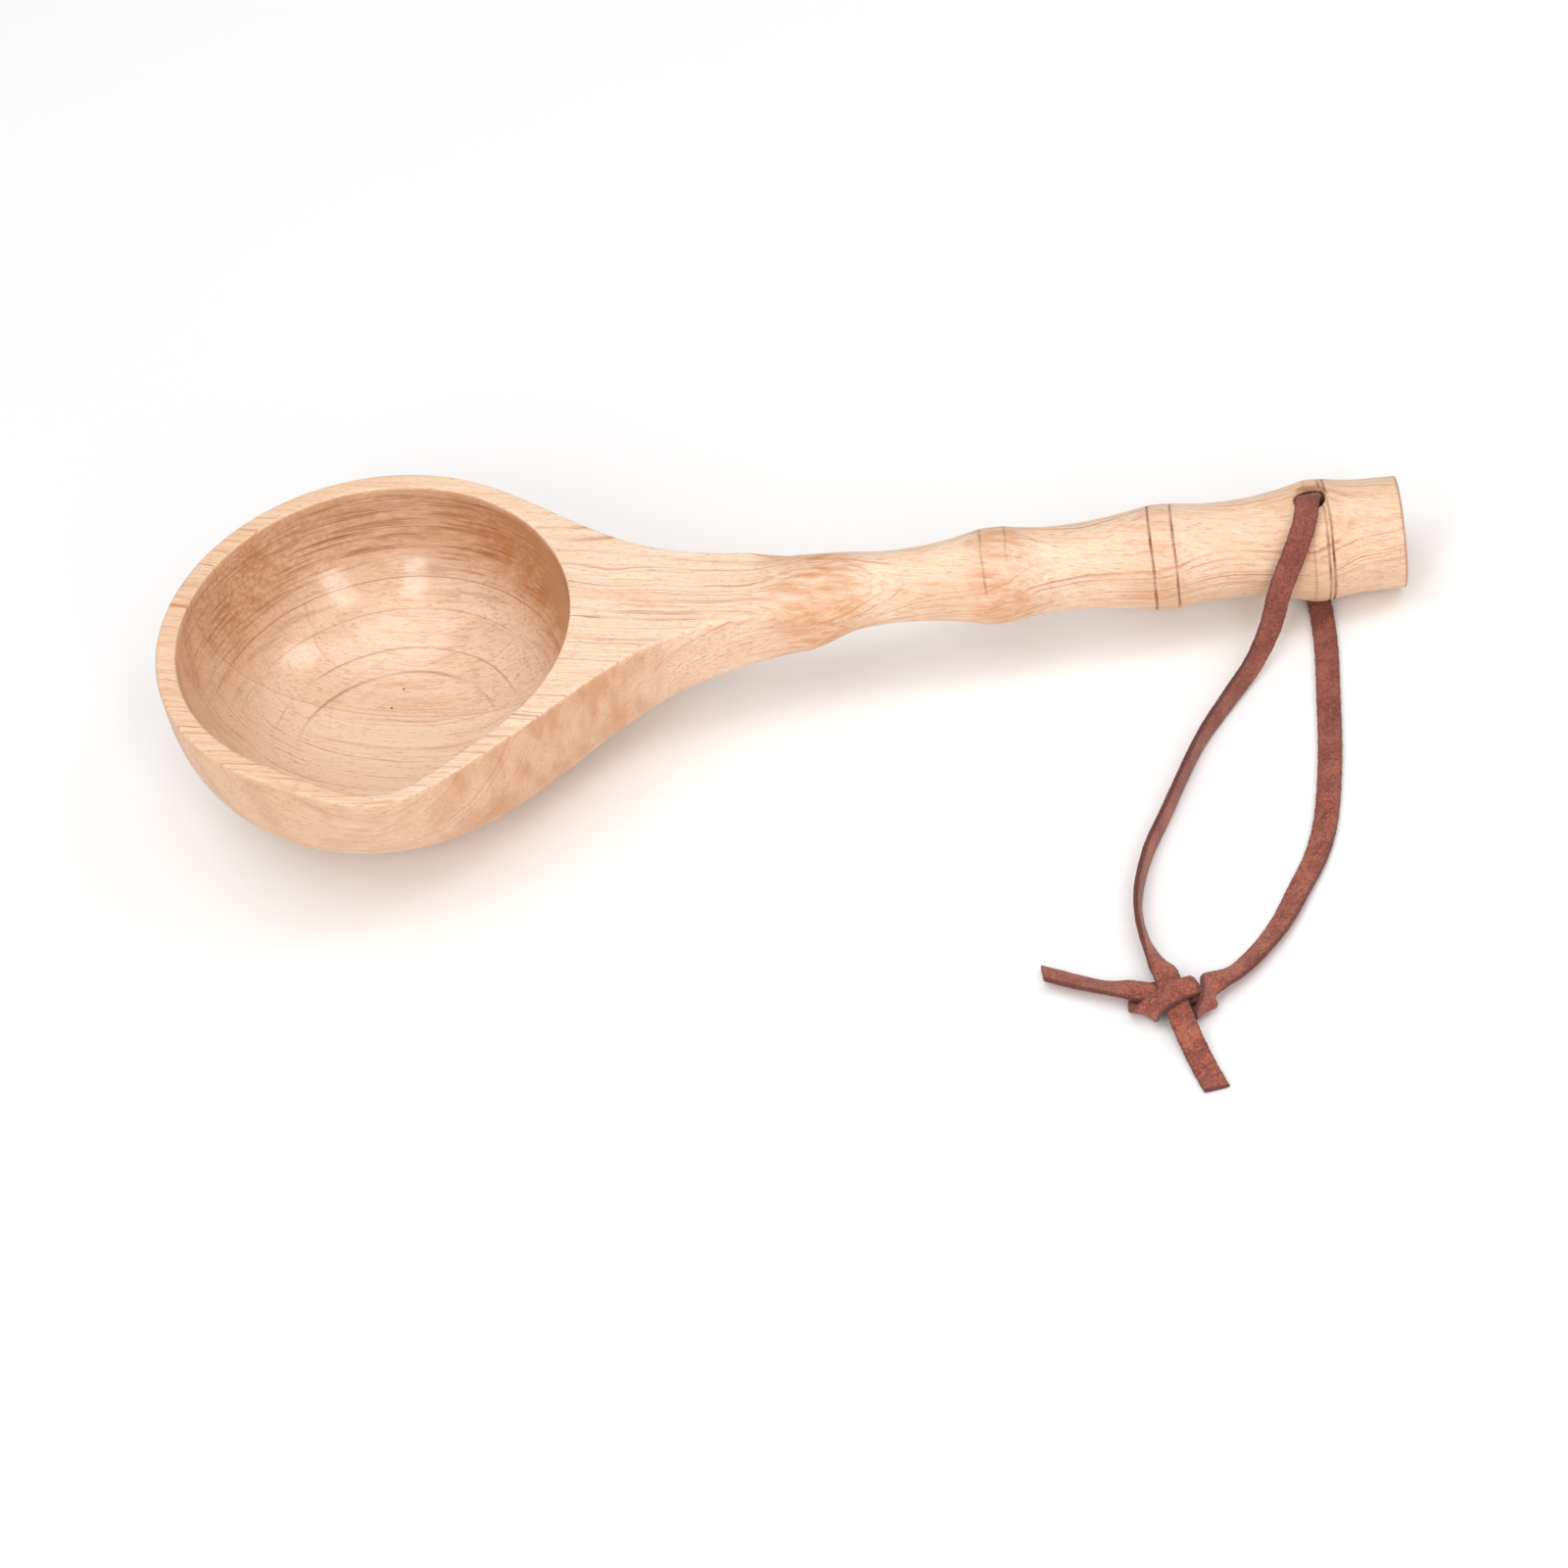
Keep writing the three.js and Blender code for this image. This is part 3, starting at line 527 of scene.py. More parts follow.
# The way from the ladle's own millimetres to the frame's metres, from the flat face on the neck.
neck_face = next(mount for mount in frame["record"]["mounts"] if mount["name"] == "neck_top")
pitch = math.atan2(neck_face["axis"][0], neck_face["axis"][2])
turned = np.array(Matrix.Rotation(pitch, 3, "Y"))
bowl_place = np.array(neck_face["pos_m"]) - turned @ np.array([NECK_FACE_AT * MM, 0, 0])


def faces_of(rows, columns):
    """The four-sided faces of a grid of points, by the points' numbers."""
    number = np.arange(rows * columns).reshape(rows, columns)
    return np.stack([number[:-1, :-1], number[:-1, 1:], number[1:, 1:], number[1:, :-1]], axis=-1)


def closed_mesh(name, places, faces, marks, merge_within):
    """A smooth mesh of places in metres, with a value at each place for every mark. Places on seams and
    poles are merged, and then all faces are turned outwards."""
    mesh = bpy.data.meshes.new(name)
    mesh.from_pydata(places, [], faces)
    for mark, values in marks.items():
        mesh.attributes.new(mark, "FLOAT", "POINT").data.foreach_set("value", values)
    work = bmesh.new()
    work.from_mesh(mesh)
    bmesh.ops.remove_doubles(work, verts=work.verts, dist=merge_within)
    bmesh.ops.recalc_face_normals(work, faces=work.faces)
    work.to_mesh(mesh)
    work.free()
    mesh.polygons.foreach_set("use_smooth", np.ones(len(mesh.polygons), bool))
    return mesh


def joined(patches):
    """The places, faces and marks of several grids as one. Each grid is its points, its marks by name and
    which of its faces are kept, or None for all."""
    places, faces, count = [], [], 0
    marks = {"scorch": [], "torn": [], "inside": []}
    for points, marked, kept in patches:
        quads = faces_of(*points.shape[:2])
        faces.append(quads[kept if kept is not None else np.ones(quads.shape[:2], bool)] + count)
        places.append(points.reshape(-1, 3))
        for mark, values in marks.items():
            values.append(np.broadcast_to(marked.get(mark, 0), points.shape[:2]).ravel())
        count += places[-1].shape[0]
    whole_marks = {mark: np.concatenate(values) for mark, values in marks.items()}
    return np.concatenate(places), np.concatenate(faces), whole_marks


ladle_places, ladle_faces, ladle_marks = joined([
    (hollow, {"inside": varnished}, None),
    (bowl_end, {}, None),
    (front_sections[:, : SIDE_STEPS + 1], {}, None),
    (front_sections[:, SIDE_STEPS + 1 :], {}, None),
    (shaft_sections, {"scorch": scorch(shaft_stations[:, None], shaft_turns)}, shaft_kept),
    (hole, hole_marks, None),
    (butt, {}, None),
])
ladle_places = ladle_places @ turned.T * MM + bowl_place
body_mesh = closed_mesh("ladle", ladle_places, ladle_faces, ladle_marks, LADLE_MERGE * MM)


class Shade:
    """A socket of a material. Sums on it add Math nodes, and node() adds any other node."""

    def __init__(self, tree, socket=None):
        self.tree = tree
        self.socket = socket

    def node(self, kind, settings=None, sockets=None, out=0):
        """Adds a node: its settings first, then the values or links of its sockets."""
        made = self.tree.nodes.new("ShaderNode" + kind)
        for name, value in (settings or {}).items():
            setattr(made, name, value)
        for name, value in (sockets or {}).items():
            if isinstance(value, Shade):
                self.tree.links.new(value.socket, made.inputs[name])
            else:
                made.inputs[name].default_value = value
        return Shade(self.tree, made.outputs[out])

    def math(self, operation, *values):
        """A Math node on the given values."""
        return self.node("Math", {"operation": operation}, dict(enumerate(values)))

    def __add__(self, other):
        return self.math("ADD", self, other)

    def __sub__(self, other):
        return self.math("SUBTRACT", self, other)

    def __rsub__(self, other):
        return self.math("SUBTRACT", other, self)

    def __mul__(self, other):
        return self.math("MULTIPLY", self, other)

    def __truediv__(self, other):
        return self.math("DIVIDE", self, other)

    def __pow__(self, other):
        return self.math("POWER", self, other)

    __radd__ = __add__
    __rmul__ = __mul__

    def absolute(self):
        """This value without its sign."""
        return self.math("ABSOLUTE", self)

    def step(self, low, high):
        """0 up to low and 1 from high, eased between."""
        ends = {"Value": self, "From Min": low, "From Max": high}
        return self.node("MapRange", {"interpolation_type": "SMOOTHSTEP"}, ends)

    def vector(self, operation, other):
        """A vector from this one and another."""
        return self.node("VectorMath", {"operation": operation}, {0: self, 1: other})

    def measure(self, operation, *others):
        """A number from this vector, such as its length or its distance from another."""
        vectors = dict(enumerate((self, *others)))
        return self.node("VectorMath", {"operation": operation}, vectors, "Value")

    def along(self, axis):
        """One part of this vector: 0 for x, 1 for y and 2 for z."""
        return self.node("SeparateXYZ", {}, {0: self}, axis)

    def noise(self, stretch, detail=2.0, out=0):
        """Noise on this vector after it is stretched: one value, or three from the output Color."""
        sockets = {"Vector": self.vector("MULTIPLY", stretch), "Scale": 1.0, "Detail": detail}
        return self.node("TexNoise", {}, sockets, out)

    def between(self, first, second):
        """A colour between two others: the first where this value is 0 and the second where it is 1. A Mix
        node's colours are its sockets 6 and 7, and its mixed colour is output 2."""
        return self.node("Mix", {"data_type": "RGBA"}, {0: self, 6: first, 7: second}, 2)

    def feeds(self, shader, name):
        """Links this socket to one of the shader's."""
        self.tree.links.new(self.socket, shader.inputs[name])


def colour(red, green, blue):
    """A colour as seen on a screen, from 0 to 255, as the light that it gives back."""
    seen = np.array([red, green, blue]) / 255
    light = np.where(seen <= 0.04045, seen / 12.92, ((seen + 0.055) / 1.055) ** 2.4)
    return (*light, 1)


# Wood. Growth rings cut across the grain show as thin brown lines along it, closer on the far half of the
# bowl than on the near half, with a straight border between as of two boards glued edge to edge. Inside the
# bowl there are also brown rings at even depths, left by the turning tool, and a satin varnish.
GRAIN_SLANT = math.radians(11.5)
BORDER_AT = 5.5
PITH = (0, 55, -60)
NEAR_SPACING = 1.35
FAR_SPACING = 0.85
YEARS_DIFFER = 2.2
# Depths of the dark tool marks below the rim and how dark they are.
TOOL_MARKS = [(1.0, 0.5), (7.5, 0.6), (12.0, 0.4), (18.5, 0.8), (24.0, 0.4), (29.0, 0.55), (31.3, 0.6)]
MARK_LEAN = 0.08
MARK_WANDER = 0.8
MARK_HALF_WIDTH = 0.2
SCRATCH_STRETCH = (0.06, 0.06, 1.8)
SCRATCH_RUN = 0.6
SPECKS = [(-2.2, 8.3, -34.2), (0.6, 13.2, -33.5)]
SPECK_RADIUS = 0.34
SPECK_CORE = 0.6 * SPECK_RADIUS
# Places along the handle where the wood is amber, how far each spreads and how strong it is.
AMBER_PLACES = [(97, 13, 1.3), (137, 9, 1), (170, 7, 0.6), (203, 10, 0.5)]
WOOD_ROUGHNESS = 0.46
VARNISH = 0.95
VARNISH_ROUGHNESS = 0.15
WOOD_RELIEF = {"Strength": 0.4, "Distance": 0.0001}
MIDDLE_GREY = (0.5, 0.5, 0.5)
CREAM = colour(247, 221, 197)
PEACH = colour(238, 196, 156)
TAN = colour(220, 170, 124)
# Painted shade on the side faces and the bowl's outer wall, and the tan of the butt's end grain.
SHADE_AND_END_GRAIN_TAN = colour(208, 154, 114)
LATE_WOOD = colour(194, 126, 88)
TOOL_MARK = colour(150, 82, 36)
PORE_BROWN = colour(178, 120, 82)
WALL_BROWN = colour(178, 114, 60)
KNOT_AMBER = colour(206, 140, 86)
TORN_BROWN = colour(164, 116, 76)
SPECK_BROWN = colour(70, 44, 30)
BURNT = colour(122, 62, 42)
# Painted shade on the butt's rounded edge, and the end grain's rings on its face.
END_SHADE_AND_RING_BROWN = colour(150, 98, 80)


def new_material(name):
    """A material, its shader and a Shade to start its nodes from."""
    material = bpy.data.materials.new(name)
    material.use_nodes = True
    return material, material.node_tree.nodes["Principled BSDF"], Shade(material.node_tree)


wood, wood_shader, wood_start = new_material("pale_wood")
object_place = wood_start.node("TexCoord", out="Object")
own_place = wood_start.node(
    "Mapping",
    {"vector_type": "TEXTURE"},
    {"Vector": object_place, "Location": tuple(bowl_place), "Rotation": (0, pitch, 0), "Scale": (MM, MM, MM)},
)
own_x, own_y, own_z = (own_place.along(axis) for axis in range(3))
slanted = {"rotation_type": "Z_AXIS"}
grain = own_place.node("VectorRotate", slanted, {"Vector": own_place, "Angle": GRAIN_SLANT})
grain_y = grain.along(1)
inside, burnt, torn = (
    wood_start.node("Attribute", {"attribute_name": mark}, out="Fac")
    for mark in ("inside", "scorch", "torn")
)
facing = wood_start.node("NewGeometry", out="Normal")


def faces_along(way, low, high):
    """How squarely the surface faces along a direction, from 0 to 1."""
    return facing.measure("DOT_PRODUCT", way).absolute().step(low, high)


def year_lines(age):
    """Thin dark lines, from 0 to 1, where each year ends. Years differ in width and in darkness."""
    slow = {"W": age * 0.6, "Scale": 1.0, "Detail": 1.0}
    age = age + age.node("TexNoise", {"noise_dimensions": "1D"}, slow) * YEARS_DIFFER
    season = age.math("FRACT", age)
    year = age.node("TexWhiteNoise", {"noise_dimensions": "1D"}, {"W": age.math("FLOOR", age)})
    line = season.step(0.55, 0.92) * (1 - season.step(0.93, 1.0))
    return line * (year ** 1.4 * 0.8 + 0.2)


def shifted(stretch, by):
    """Noise that moves a point of the grain to either side, across it and up or down."""
    spread = grain.noise(stretch, 2.0, "Color").vector("SUBTRACT", MIDDLE_GREY)
    return spread.vector("MULTIPLY", (0, by, by))


def near_node(at, spread):
    """1 at a place along the handle, falling to 0 beside it as a parabola."""
    offset = (own_x - at) / spread
    hump = 1 - offset * offset
    return hump.math("MAXIMUM", hump, 0.0)


# Growth rings: distance from the pith in years, after the grain is waved.
waved = grain.vector("ADD", shifted((0.016, 0.035, 0.035), 9)).vector("ADD", shifted((0.06, 0.2, 0.2), 1.3))
from_pith = waved.vector("SUBTRACT", PITH).vector("MULTIPLY", (0, 1, 1))
ring_radius = from_pith.measure("LENGTH")
outwards = facing.node("VectorRotate", slanted, {"Vector": facing, "Angle": GRAIN_SLANT})
flush = from_pith.measure("DOT_PRODUCT", outwards) / ring_radius
cut_across = 1 - flush.absolute().step(0.86, 0.985) * 0.9
far_board = grain_y.step(BORDER_AT - 0.1, BORDER_AT + 0.1)
come_and_go = grain.noise((0.05, 0.35, 0.35), 2.0).step(0.34, 0.62) * 0.8 + 0.2
spacing = NEAR_SPACING + far_board * (FAR_SPACING - NEAR_SPACING)
lines = year_lines(ring_radius / spacing) * come_and_go * cut_across
border_line = (1 - (grain_y - BORDER_AT).absolute().step(0.05, 0.3)) * inside

# Marks of the turning tool in the bowl: a few dark rings and many fine scratches, and two specks.
wobble = own_place.noise((0.025, 0.025, 0.12), 2.0) - 0.5
level_place = own_place.vector("MULTIPLY", (1, 1, 0))
from_axis = level_place.measure("LENGTH")
depth = own_z + own_y * MARK_LEAN + wobble * MARK_WANDER
tool_marks = sum(
    (1 - (depth + below_rim).absolute().step(0, MARK_HALF_WIDTH)) * dark for below_rim, dark in TOOL_MARKS
)
tool_marks = tool_marks * own_place.noise((0.05, 0.05, 0.5), 2.0).step(0.32, 0.5)
spiral = level_place.node("CombineXYZ", {}, {0: own_x, 1: own_y, 2: depth - from_axis * SCRATCH_RUN})
scratches = spiral.noise(SCRATCH_STRETCH, 3.0).step(0.5, 0.66)
speck = sum(1 - own_place.measure("DISTANCE", spot).step(SPECK_CORE, SPECK_RADIUS) for spot in SPECKS)

# Figure of the wood, from broad clouds down to single fibres.
mottle = grain.noise((0.04, 0.14, 0.14), 3.0).step(0.32, 0.72)
streaks = grain.noise((0.03, 0.8, 0.8), 3.0)
hairs = grain.noise((0.04, 1.6, 1.6), 3.0).step(0.5, 0.68)
fibre = grain.noise((0.16, 2.8, 2.8), 3.0)
silk = grain.noise((1.8, 2.4, 2.4), 1.0)
pores = grain.noise((0.42, 2.2, 2.2), 1.0).step(0.57, 0.72)
cloud = grain.noise((0.09, 0.2, 0.1), 4.0).step(0.38, 0.68)
flecks = grain.noise((0.3, 1.0, 1.0), 4.0).step(0.36, 0.64)
char = own_place.noise((1.4, 1.4, 1.4), 2.0)
curl = own_place.noise((0.26, 0.05, 0.07), 3.0).step(0.42, 0.64)
amber_spots = grain.noise((0.14, 0.7, 0.7), 5.0).step(0.36, 0.7) * 0.75 + 0.25
amber = amber_spots * sum(near_node(at, spread) * strength for at, spread, strength in AMBER_PLACES)

# Places on the ladle, each 1 there and 0 elsewhere.
end_grain = faces_along((math.cos(pitch), 0, -math.sin(pitch)), 0.3, 0.95)
steep = 1 - faces_along((math.sin(pitch), 0, math.cos(pitch)), 0.25, 0.92)
wall_face = faces_along((0, 1, 0), 0.2, 0.9) * (1 - inside)
on_far_half = inside * own_y.step(-4, 12)
by_the_neck = own_x.step(-5, 35) * (1 - own_x.step(45, 75))
by_the_bowl = 1 - own_x.step(-25, 45)
by_the_butt = own_x.step(130, 215)
# The inner right wall by the neck: partly the wood's own darker tone, partly painted shade.
right_wall_tone_and_shade = own_x.step(-8, 46) * steep
by_left_wall = (1 - own_x.step(-32, -6)) * steep * far_board
outer_wall = (1 - inside) * steep * by_the_bowl
butt_end = own_x.step(BUTT_AT - 0.75, BUTT_AT - 0.25)
butt_face = butt_end * end_grain

# The colour, as coats laid one over the other: how much of each there is, and its colour.
# Painted shade on the side faces by the neck, with the wood's curl figure and cloud in it.
figure_and_neck_shade = by_the_neck * (0.55 + curl * 0.4) + cloud * 0.2
faint_on_walls = 1 - wall_face * (1 - own_x.step(60, 100)) * 0.5
brown_wall = steep * (0.12 + far_board * 0.1 + cloud * 0.12 + flecks * 0.18)
brown_wall = brown_wall + end_grain * (0.1 + cloud * 0.18)
# The inner right wall by the neck is browner: partly the wood's own darker tone, partly painted shade.
brown_wall = brown_wall + right_wall_tone_and_shade * (0.57 + scratches * 0.22) + by_left_wall * flecks * 0.17
wood_coats = [
    ((fibre - 0.5) * 0.85 + (silk - 0.5) * 0.6 + 0.08 + hairs * 0.5, TAN),
    (by_the_bowl * 0.38 + by_the_butt * 0.3 + near_node(122, 26) * 0.1, TAN),
    # Painted shade: the side faces and the bowl's outer wall are darkened, most by the neck.
    (wall_face * (0.1 + figure_and_neck_shade) + outer_wall * (0.16 + cloud * 0.2), SHADE_AND_END_GRAIN_TAN),
    (inside * (1 - far_board) * (0.2 + own_x.step(-36, -8) * 0.4), CREAM),
    (inside * brown_wall, WALL_BROWN),
    # Painted shade: the butt's rounded edge darkened, less on its flat end face.
    (butt_end * 0.75 - butt_face * 0.55, END_SHADE_AND_RING_BROWN),
    (butt_face * (0.3 + cloud * 0.2), SHADE_AND_END_GRAIN_TAN),
    (lines * faint_on_walls * (1 - on_far_half * 0.6), LATE_WOOD),
    (on_far_half * (tool_marks * 0.9 + scratches * (0.12 + steep * 0.45)), TOOL_MARK),
    (border_line * 0.25, TOOL_MARK),
    (pores * (0.36 + butt_face * 0.12), PORE_BROWN),
    (butt_face * lines * 0.6, END_SHADE_AND_RING_BROWN),
    (amber * 0.72, KNOT_AMBER),
    (torn * (0.4 + fibre * 0.8), TORN_BROWN),
    (speck, SPECK_BROWN),
    (burnt * (0.55 + char * 0.9), BURNT),
]
wood_colour = (mottle * 0.5 + (streaks - 0.5) * 1.2).between(CREAM, PEACH)
for share, coat in wood_coats:
    wood_colour = share.between(wood_colour, coat)
wood_colour.feeds(wood_shader, "Base Color")
rough = WOOD_ROUGHNESS + pores * 0.1 + burnt * 0.25 + (fibre - 0.5) * 0.12 - inside * 0.1
rough.feeds(wood_shader, "Roughness")
(inside * VARNISH).feeds(wood_shader, "Coat Weight")
wood_shader.inputs["Coat Roughness"].default_value = VARNISH_ROUGHNESS
wood_height = fibre * 0.4 + silk * 0.2 - pores * 0.7
wood_start.node("Bump", {}, {**WOOD_RELIEF, "Height": wood_height}).feeds(wood_shader, "Normal")

body_mesh.materials.append(wood)
ladle = bpy.data.objects.new("ladle", body_mesh)
bpy.context.scene.collection.objects.link(ladle)
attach(ladle, "ladle")
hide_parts("ladle_body")


# Lace. One flat strip of brown suede, about 5 mm wide, pushed through the handle's hole and knotted, with
# one strand wound round the other. It is made here as the two strands that leave the hole's mouths.

# Points are millimetres from the floor under the hole: a place and the way the flat face looks there.
LACE_WIDTH = 5.1
LACE_THICKNESS = 1.3
FRONT_ROUTE = [
    (-37.5, -133.1, 0.8, 0, 0, 1),
    (-39, -128.4, 0.8, 0, 0, 1),
    (-40.4, -123.6, 1.4, 0, 0, 1),
    (-41.8, -118.6, 3.1, 0, 0, 1),
    (-42.8, -113.6, 3.8, 0, 0, 1),
    (-43.4, -109.6, 3.77, 0, 0, 1),
    (-44.3, -104.6, 3.75, 0.1, 0, 1),
    (-46, -99.4, 3.2, 0.75, -0.2, 0.6),
    (-47.7, -93, 2.85, 0.97, -0.1, 0.25),
    (-48.3, -87.1, 2.8, 1, 0, 0.1),
    (-47.9, -80.8, 2.8, 1, -0.15, 0),
    (-45, -70.6, 2.8, 0.93, -0.36, 0),
    (-40.1, -60.4, 2.8, 0.9, -0.43, 0),
    (-30.5, -41.2, 2.8, 0.83, -0.55, 0),
    (-23.7, -31.6, 3, 0.78, -0.6, 0.15),
    (-17, -23.2, 4, 0.6, -0.75, 0.3),
    (-12.2, -17.6, 8, 0.3, -0.9, 0.3),
    (-8.6, -14.6, 15.6, 0, -1, 0.15),
    (-3.8, -11.5, 23.7, 0, -0.75, 0.65),
    (-1, -7.4, 27, 0, -0.45, 1),
    (0.1, -3.6, 27.9, 0, -0.1, 1),
    (0.7, -0.7, 27.7, 0, 0.4, 0.9),
    (0.95, 0.9, 26, 0, 0.9, 0.4),
    (0.85, 1.15, 23, 0, 1, 0),
]
HOLE_MIDDLE = (0, 0.4, 14, 0, 1, 0)
BACK_ROUTE = [
    (-0.95, -0.1, 5, 0, 1, 0),
    (-1.1, -0.7, 2.3, 0, 0.85, -0.5),
    (-1.1, -2.9, 0.85, 0, 0.25, -1),
    (-0.95, -7, 0.74, 0, 0, -1),
    (-1.1, -17.6, 0.8, 0, 0, -1),
    (-2.5, -33.5, 0.8, 0, 0, -1),
    (-4.6, -52.6, 0.8, 0, 0, -1),
    (-7.7, -69.2, 0.8, 0, 0, -1),
    (-10.6, -77.5, 0.9, 0.07, -0.05, -1),
    (-15.2, -86.1, 1.2, 0.14, -0.1, -0.98),
    (-20, -94.4, 1.5, 0.25, -0.18, -0.95),
    (-25.4, -101, 1.75, 0.3, -0.22, -0.93),
    (-30.4, -105.6, 2.3, 0.15, -0.3, -0.95),
    (-33.8, -107.9, 3.6, -0.5, -0.35, -0.8),
    (-35.8, -109.8, 4.7, -0.85, -0.15, -0.5),
    (-36.4, -112.1, 4.5, -0.92, 0.2, -0.3),
    (-37, -113.7, 3.1, -0.35, 0.9, 0.1),
    (-38.4, -113.6, 1.4, 0, 0.3, 0.95),
    (-41.1, -111.8, 0.8, 0, 0, 1),
    (-44.2, -108.6, 0.78, 0, 0, 1),
    (-46.6, -106.3, 0.78, 0, 0, 1),
    (-49.1, -106.4, 0.85, 0.05, -0.05, 1),
    (-50.5, -109, 1.05, 0.08, 0, 1),
    (-50, -111.4, 1.95, 0.45, 0.3, 0.8),
    (-48.5, -112.9, 3.5, 0.8, 0.5, 0),
    (-46.5, -112.5, 5.2, 0.3, 0.1, -0.9),
    (-43.7, -111.1, 5.4, 0, 0, -1),
    (-41, -110, 5.3, 0, 0, -1),
    (-39, -109.4, 4.8, -0.5, -0.1, -0.8),
    (-38.3, -109.1, 3.8, -1, -0.4, 0),
    (-39, -109.3, 2.8, -0.5, -0.2, 0.85),
    (-41.6, -109.4, 2.25, 0, 0, 1),
    (-45, -108.8, 2.25, 0, 0, 1),
    (-47.3, -108.1, 2.45, 0, 0.05, 0.95),
    (-49.6, -107.3, 3.1, 0.03, 0.06, 0.95),
    (-53, -105.8, 3.2, 0.1, 0.2, 0.94),
    (-57.5, -103.5, 2.2, 0.23, 0.41, 0.88),
    (-62.7, -100.7, 1.9, 0.23, 0.41, 0.88),
    (-69.5, -96.8, 1.9, 0.23, 0.41, 0.88),
]
ROUTE_FINENESS = 4000
STRAND_STEP = 0.3
ROUND_THE_STRIP = 36
STRIP_SQUARENESS = 5
EDGE_FUZZ = 0.07
FUZZ_AT_EDGE = 8
CUT_AT_EDGE = 10
THICKNESS_VARIES = 0.06
CAP_STEPS = 3
LACE_MERGE = 0.001
FRONT_END_SLANT = 0.6
BACK_END_SLANT = -1.65
hole_place = np.array([*frame["joints"][0]["pos_m"][:2], 0])


def through(points, at):
    """A smooth curve through points (centripetal Catmull-Rom), at the given places along the list."""
    ends = np.concatenate([2 * points[:1] - points[1:2], points, 2 * points[-1:] - points[-2:-1]])
    number = np.clip(np.floor(at).astype(int), 0, len(points) - 2)
    s = (at - number)[:, None]
    a, b, c, d = (ends[number + k] for k in range(4))
    pairs = ((a, b), (b, c), (c, d))
    ab, bc, cd = (np.sqrt(np.linalg.norm(q[:, :3] - p[:, :3], axis=1))[:, None] for p, q in pairs)
    leave = ((b - a) / ab - (c - a) / (ab + bc) + (c - b) / bc) * bc
    arrive = ((c - b) / bc - (d - b) / (bc + cd) + (d - c) / cd) * bc
    near = (2 * s - 3) * s * s + 1
    return near * b + (1 - near) * c + s * (1 - s) * ((1 - s) * leave - s * arrive)


def strand(route, start_at, end_at, slant):
    """A flat strip along part of a route: a squarish superellipse carried square to the curve, its edges
    frayed by a few sines and its free end cut on a slant. Returns the points, the edge share of each and
    the middle line."""
    fine = through(np.array(route, float), np.linspace(start_at, end_at, ROUTE_FINENESS))
    gone = np.concatenate([[0], np.cumsum(np.linalg.norm(np.diff(fine[:, :3], axis=0), axis=1))])
    along_strip = np.linspace(0, gone[-1], int(gone[-1] / STRAND_STEP))
    line = np.stack([np.interp(along_strip, gone, fine[:, k]) for k in range(6)], axis=1)
    middle, flat_way = line[:, :3], line[:, 3:]
    ahead = np.gradient(middle, axis=0)
    ahead /= np.linalg.norm(ahead, axis=1)[:, None]
    sideways = np.cross(flat_way, ahead)
    sideways /= np.linalg.norm(sideways, axis=1)[:, None]
    face = np.cross(ahead, sideways)
    turn = np.linspace(0, 2 * math.pi, ROUND_THE_STRIP + 1)
    power = 2 / STRIP_SQUARENESS
    u = np.sign(np.cos(turn)) * np.abs(np.cos(turn)) ** power
    v = np.sign(np.sin(turn)) * np.abs(np.sin(turn)) ** power
    s = along_strip[:, None]
    fuzz = np.sin(2.9 * s + 2 * np.sign(u)) * np.sin(1.3 * s + u) + 0.5 * np.sin(6.3 * s + 3 * np.sign(u))
    width = LACE_WIDTH / 2 + EDGE_FUZZ * fuzz * np.abs(u) ** FUZZ_AT_EDGE
    thick = LACE_THICKNESS / 2 * (1 + THICKNESS_VARIES * np.sin(0.9 * s) * np.sin(0.37 * s + 1))
    lead = np.clip(1 - (gone[-1] - s) / LACE_WIDTH, 0, 1) * slant * u
    points = (
        middle[:, None]
        + sideways[:, None] * (width * u)[..., None]
        + face[:, None] * (thick * v)[..., None]
        + ahead[:, None] * lead[..., None]
    )
    return points, np.abs(u) ** CUT_AT_EDGE + 0 * s, middle


def strip_mesh(name, points, edge):
    """A closed strip: the grid of points, with each end drawn in to its middle as a cut face."""
    spread = np.linspace(0, 1, CAP_STEPS + 1)[:-1, None, None]
    first_cap, last_cap = (
        ring[:-1].mean(0) + spread * (ring - ring.mean(0)) for ring in (points[0], points[-1])
    )
    whole = np.concatenate([first_cap, points, last_cap[::-1]])
    cut_face = np.ones((CAP_STEPS, edge.shape[1]))
    marks = {"cut_edge": np.concatenate([cut_face, edge, cut_face]).ravel()}
    places = whole.reshape(-1, 3) * MM + hole_place
    return closed_mesh(name, places, faces_of(*whole.shape[:2]).reshape(-1, 4), marks, LACE_MERGE * MM)


# Suede. A short brown nap, lighter where it is brushed one way, darker where it stands up and at the cut
# edges, and darker towards the handle as painted shade.
FACE_BROWN = colour(146, 80, 66)
FACE_LIGHT = colour(194, 120, 94)
FACE_DARK = colour(98, 50, 46)
# Painted shade on the lace near the handle.
FACE_SHADE = colour(112, 60, 56)
EDGE_BROWN = colour(92, 54, 52)
SHADE_FADES = (20, 110)
SUEDE_RELIEF = {"Strength": 0.8, "Distance": 0.0003}
SUEDE_FINISH = {"Roughness": 0.95, "Specular IOR Level": 0.15, "Sheen Weight": 0.2, "Sheen Roughness": 0.5}

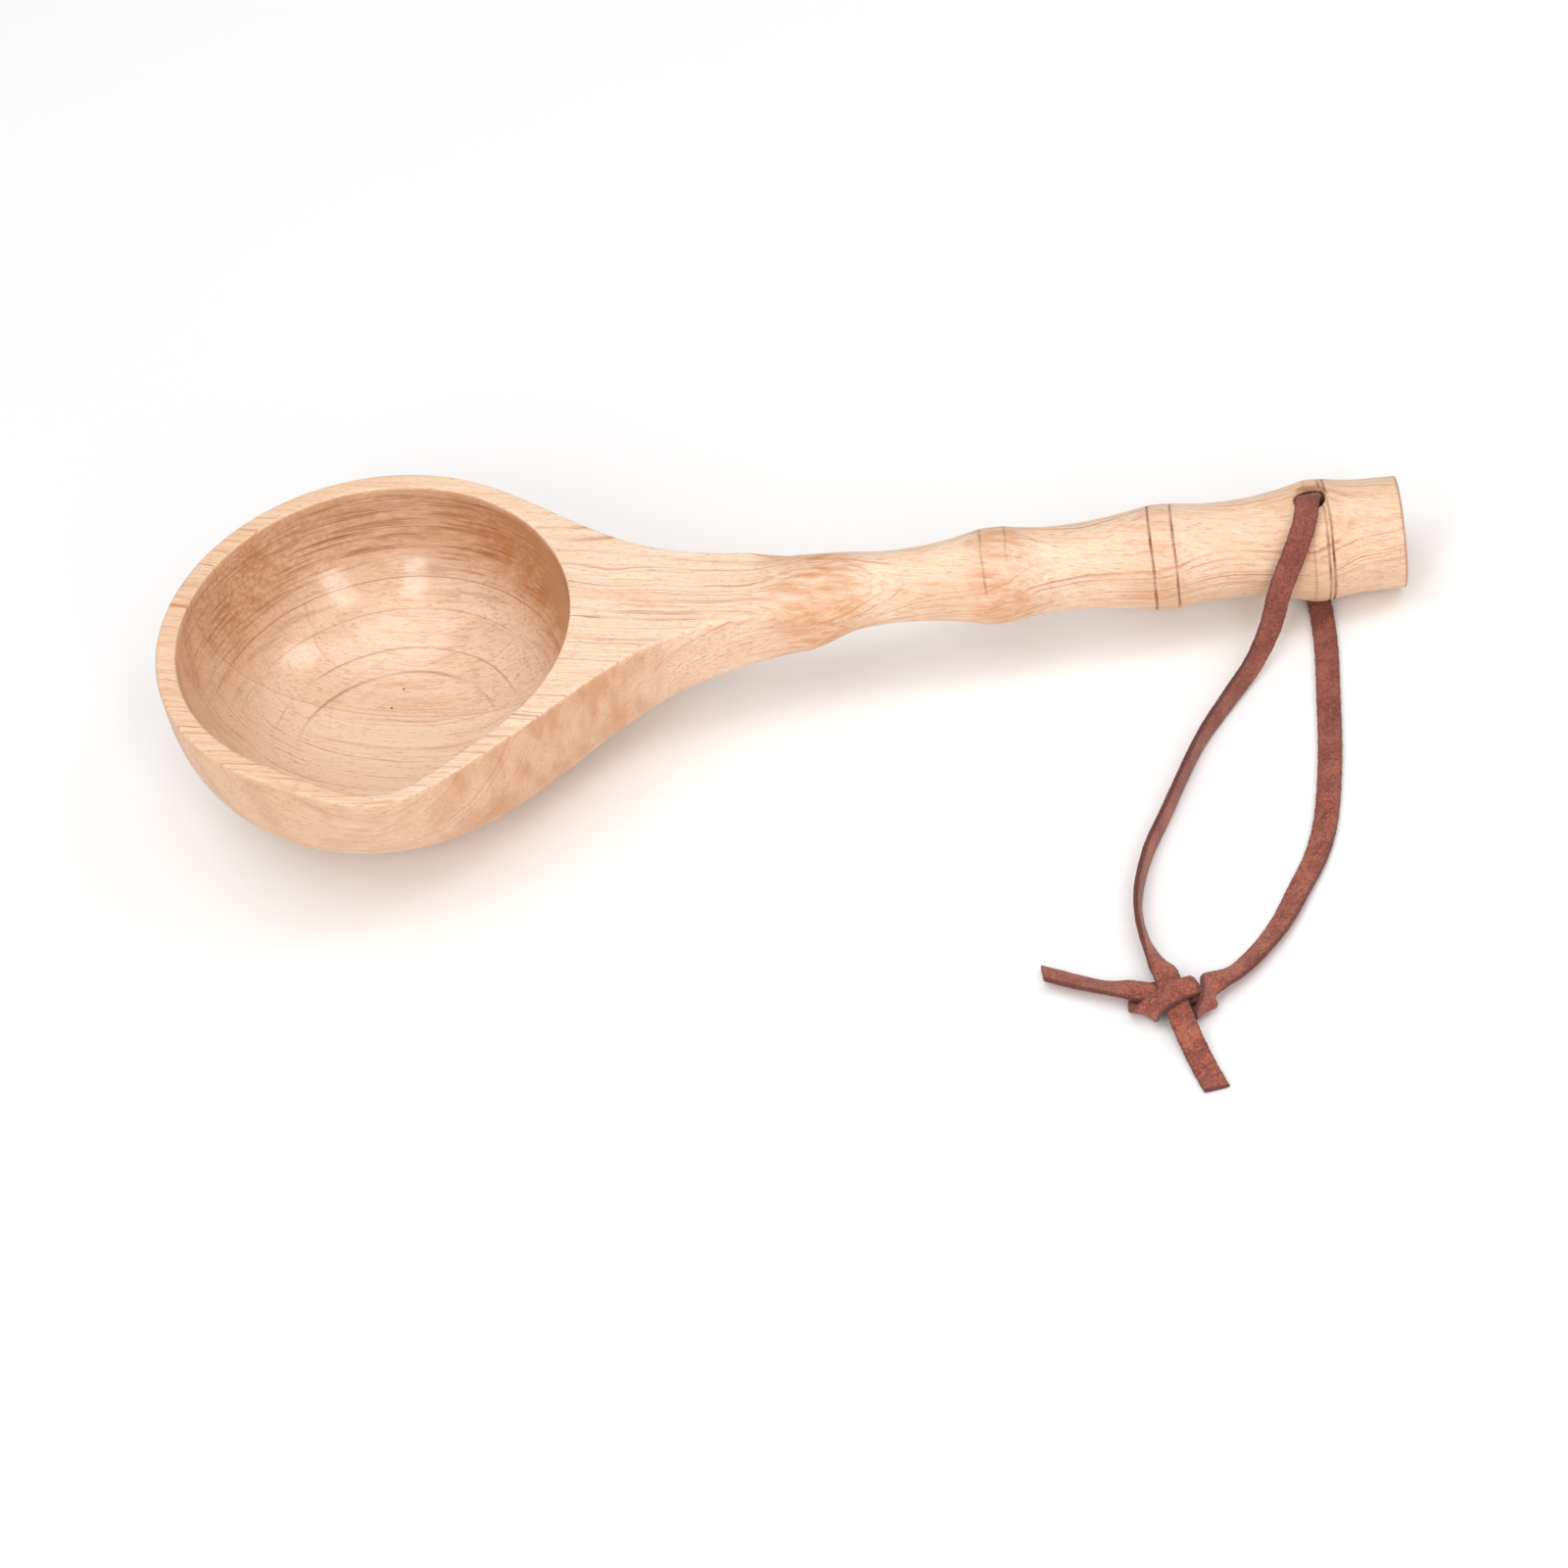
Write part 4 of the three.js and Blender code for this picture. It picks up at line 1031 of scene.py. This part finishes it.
suede, suede_shader, suede_start = new_material("brown_suede")
object_place = suede_start.node("TexCoord", out="Object")
place_mm = suede_start.node("VectorMath", {"operation": "SCALE"}, {0: object_place, "Scale": 1 / MM})
brushed = place_mm.noise((0.2, 0.2, 0.2), 3.0)
nap = place_mm.noise((1.7, 1.7, 1.7), 4.0)
fluff = place_mm.noise((5.5, 5.5, 5.5), 2.0)
cut = suede_start.node("Attribute", {"attribute_name": "cut_edge"}, out="Fac")
from_hole = place_mm.vector("SUBTRACT", tuple(hole_place / MM)).vector("MULTIPLY", (1, 1, 0))
shade_by_handle = 1 - from_hole.measure("LENGTH").step(*SHADE_FADES)
suede_coats = [
    (nap.step(0.48, 0.7) * 0.66, FACE_DARK),
    ((1 - nap.step(0.32, 0.5)) * 0.55, FACE_LIGHT),
    (fluff.step(0.48, 0.68) * 0.55, FACE_DARK),
    # Painted shade: the lace darker near the handle, fading out away from the hole.
    (shade_by_handle * 0.4, FACE_SHADE),
    (cut * (0.65 + nap * 0.4), EDGE_BROWN),
]
suede_colour = (brushed.step(0.35, 0.7) * 0.7).between(FACE_BROWN, FACE_LIGHT)
for share, coat in suede_coats:
    suede_colour = share.between(suede_colour, coat)
suede_colour.feeds(suede_shader, "Base Color")
for name, value in SUEDE_FINISH.items():
    suede_shader.inputs[name].default_value = value
suede_height = nap * 0.6 + fluff * 0.4
suede_start.node("Bump", {}, {**SUEDE_RELIEF, "Height": suede_height}).feeds(suede_shader, "Normal")

whole_route = FRONT_ROUTE + [HOLE_MIDDLE] + BACK_ROUTE
meeting = len(FRONT_ROUTE)
strands = {
    "lace_front": {
        "run": (meeting, 0),
        "slant": FRONT_END_SLANT,
        "mouth": FRONT_ROUTE[-3],
        "nodes": ["lace_in_hole", "lace_front_strand", "lace_lower_tail"],
    },
    "lace_back": {
        "run": (meeting, len(whole_route) - 1),
        "slant": BACK_END_SLANT,
        "mouth": BACK_ROUTE[1],
        "nodes": ["lace_back_strand", "lace_knot", "lace_left_tail"],
    },
}
for name, strip in strands.items():
    points, edge, middle = strand(whole_route, *strip["run"], strip["slant"])
    mesh = strip_mesh(name, points, edge)
    mesh.materials.append(suede)
    lace = bpy.data.objects.new(name, mesh)
    bpy.context.scene.collection.objects.link(lace)
    path = middle * MM + hole_place
    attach(lace, "lace")
    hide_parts(*strip["nodes"])
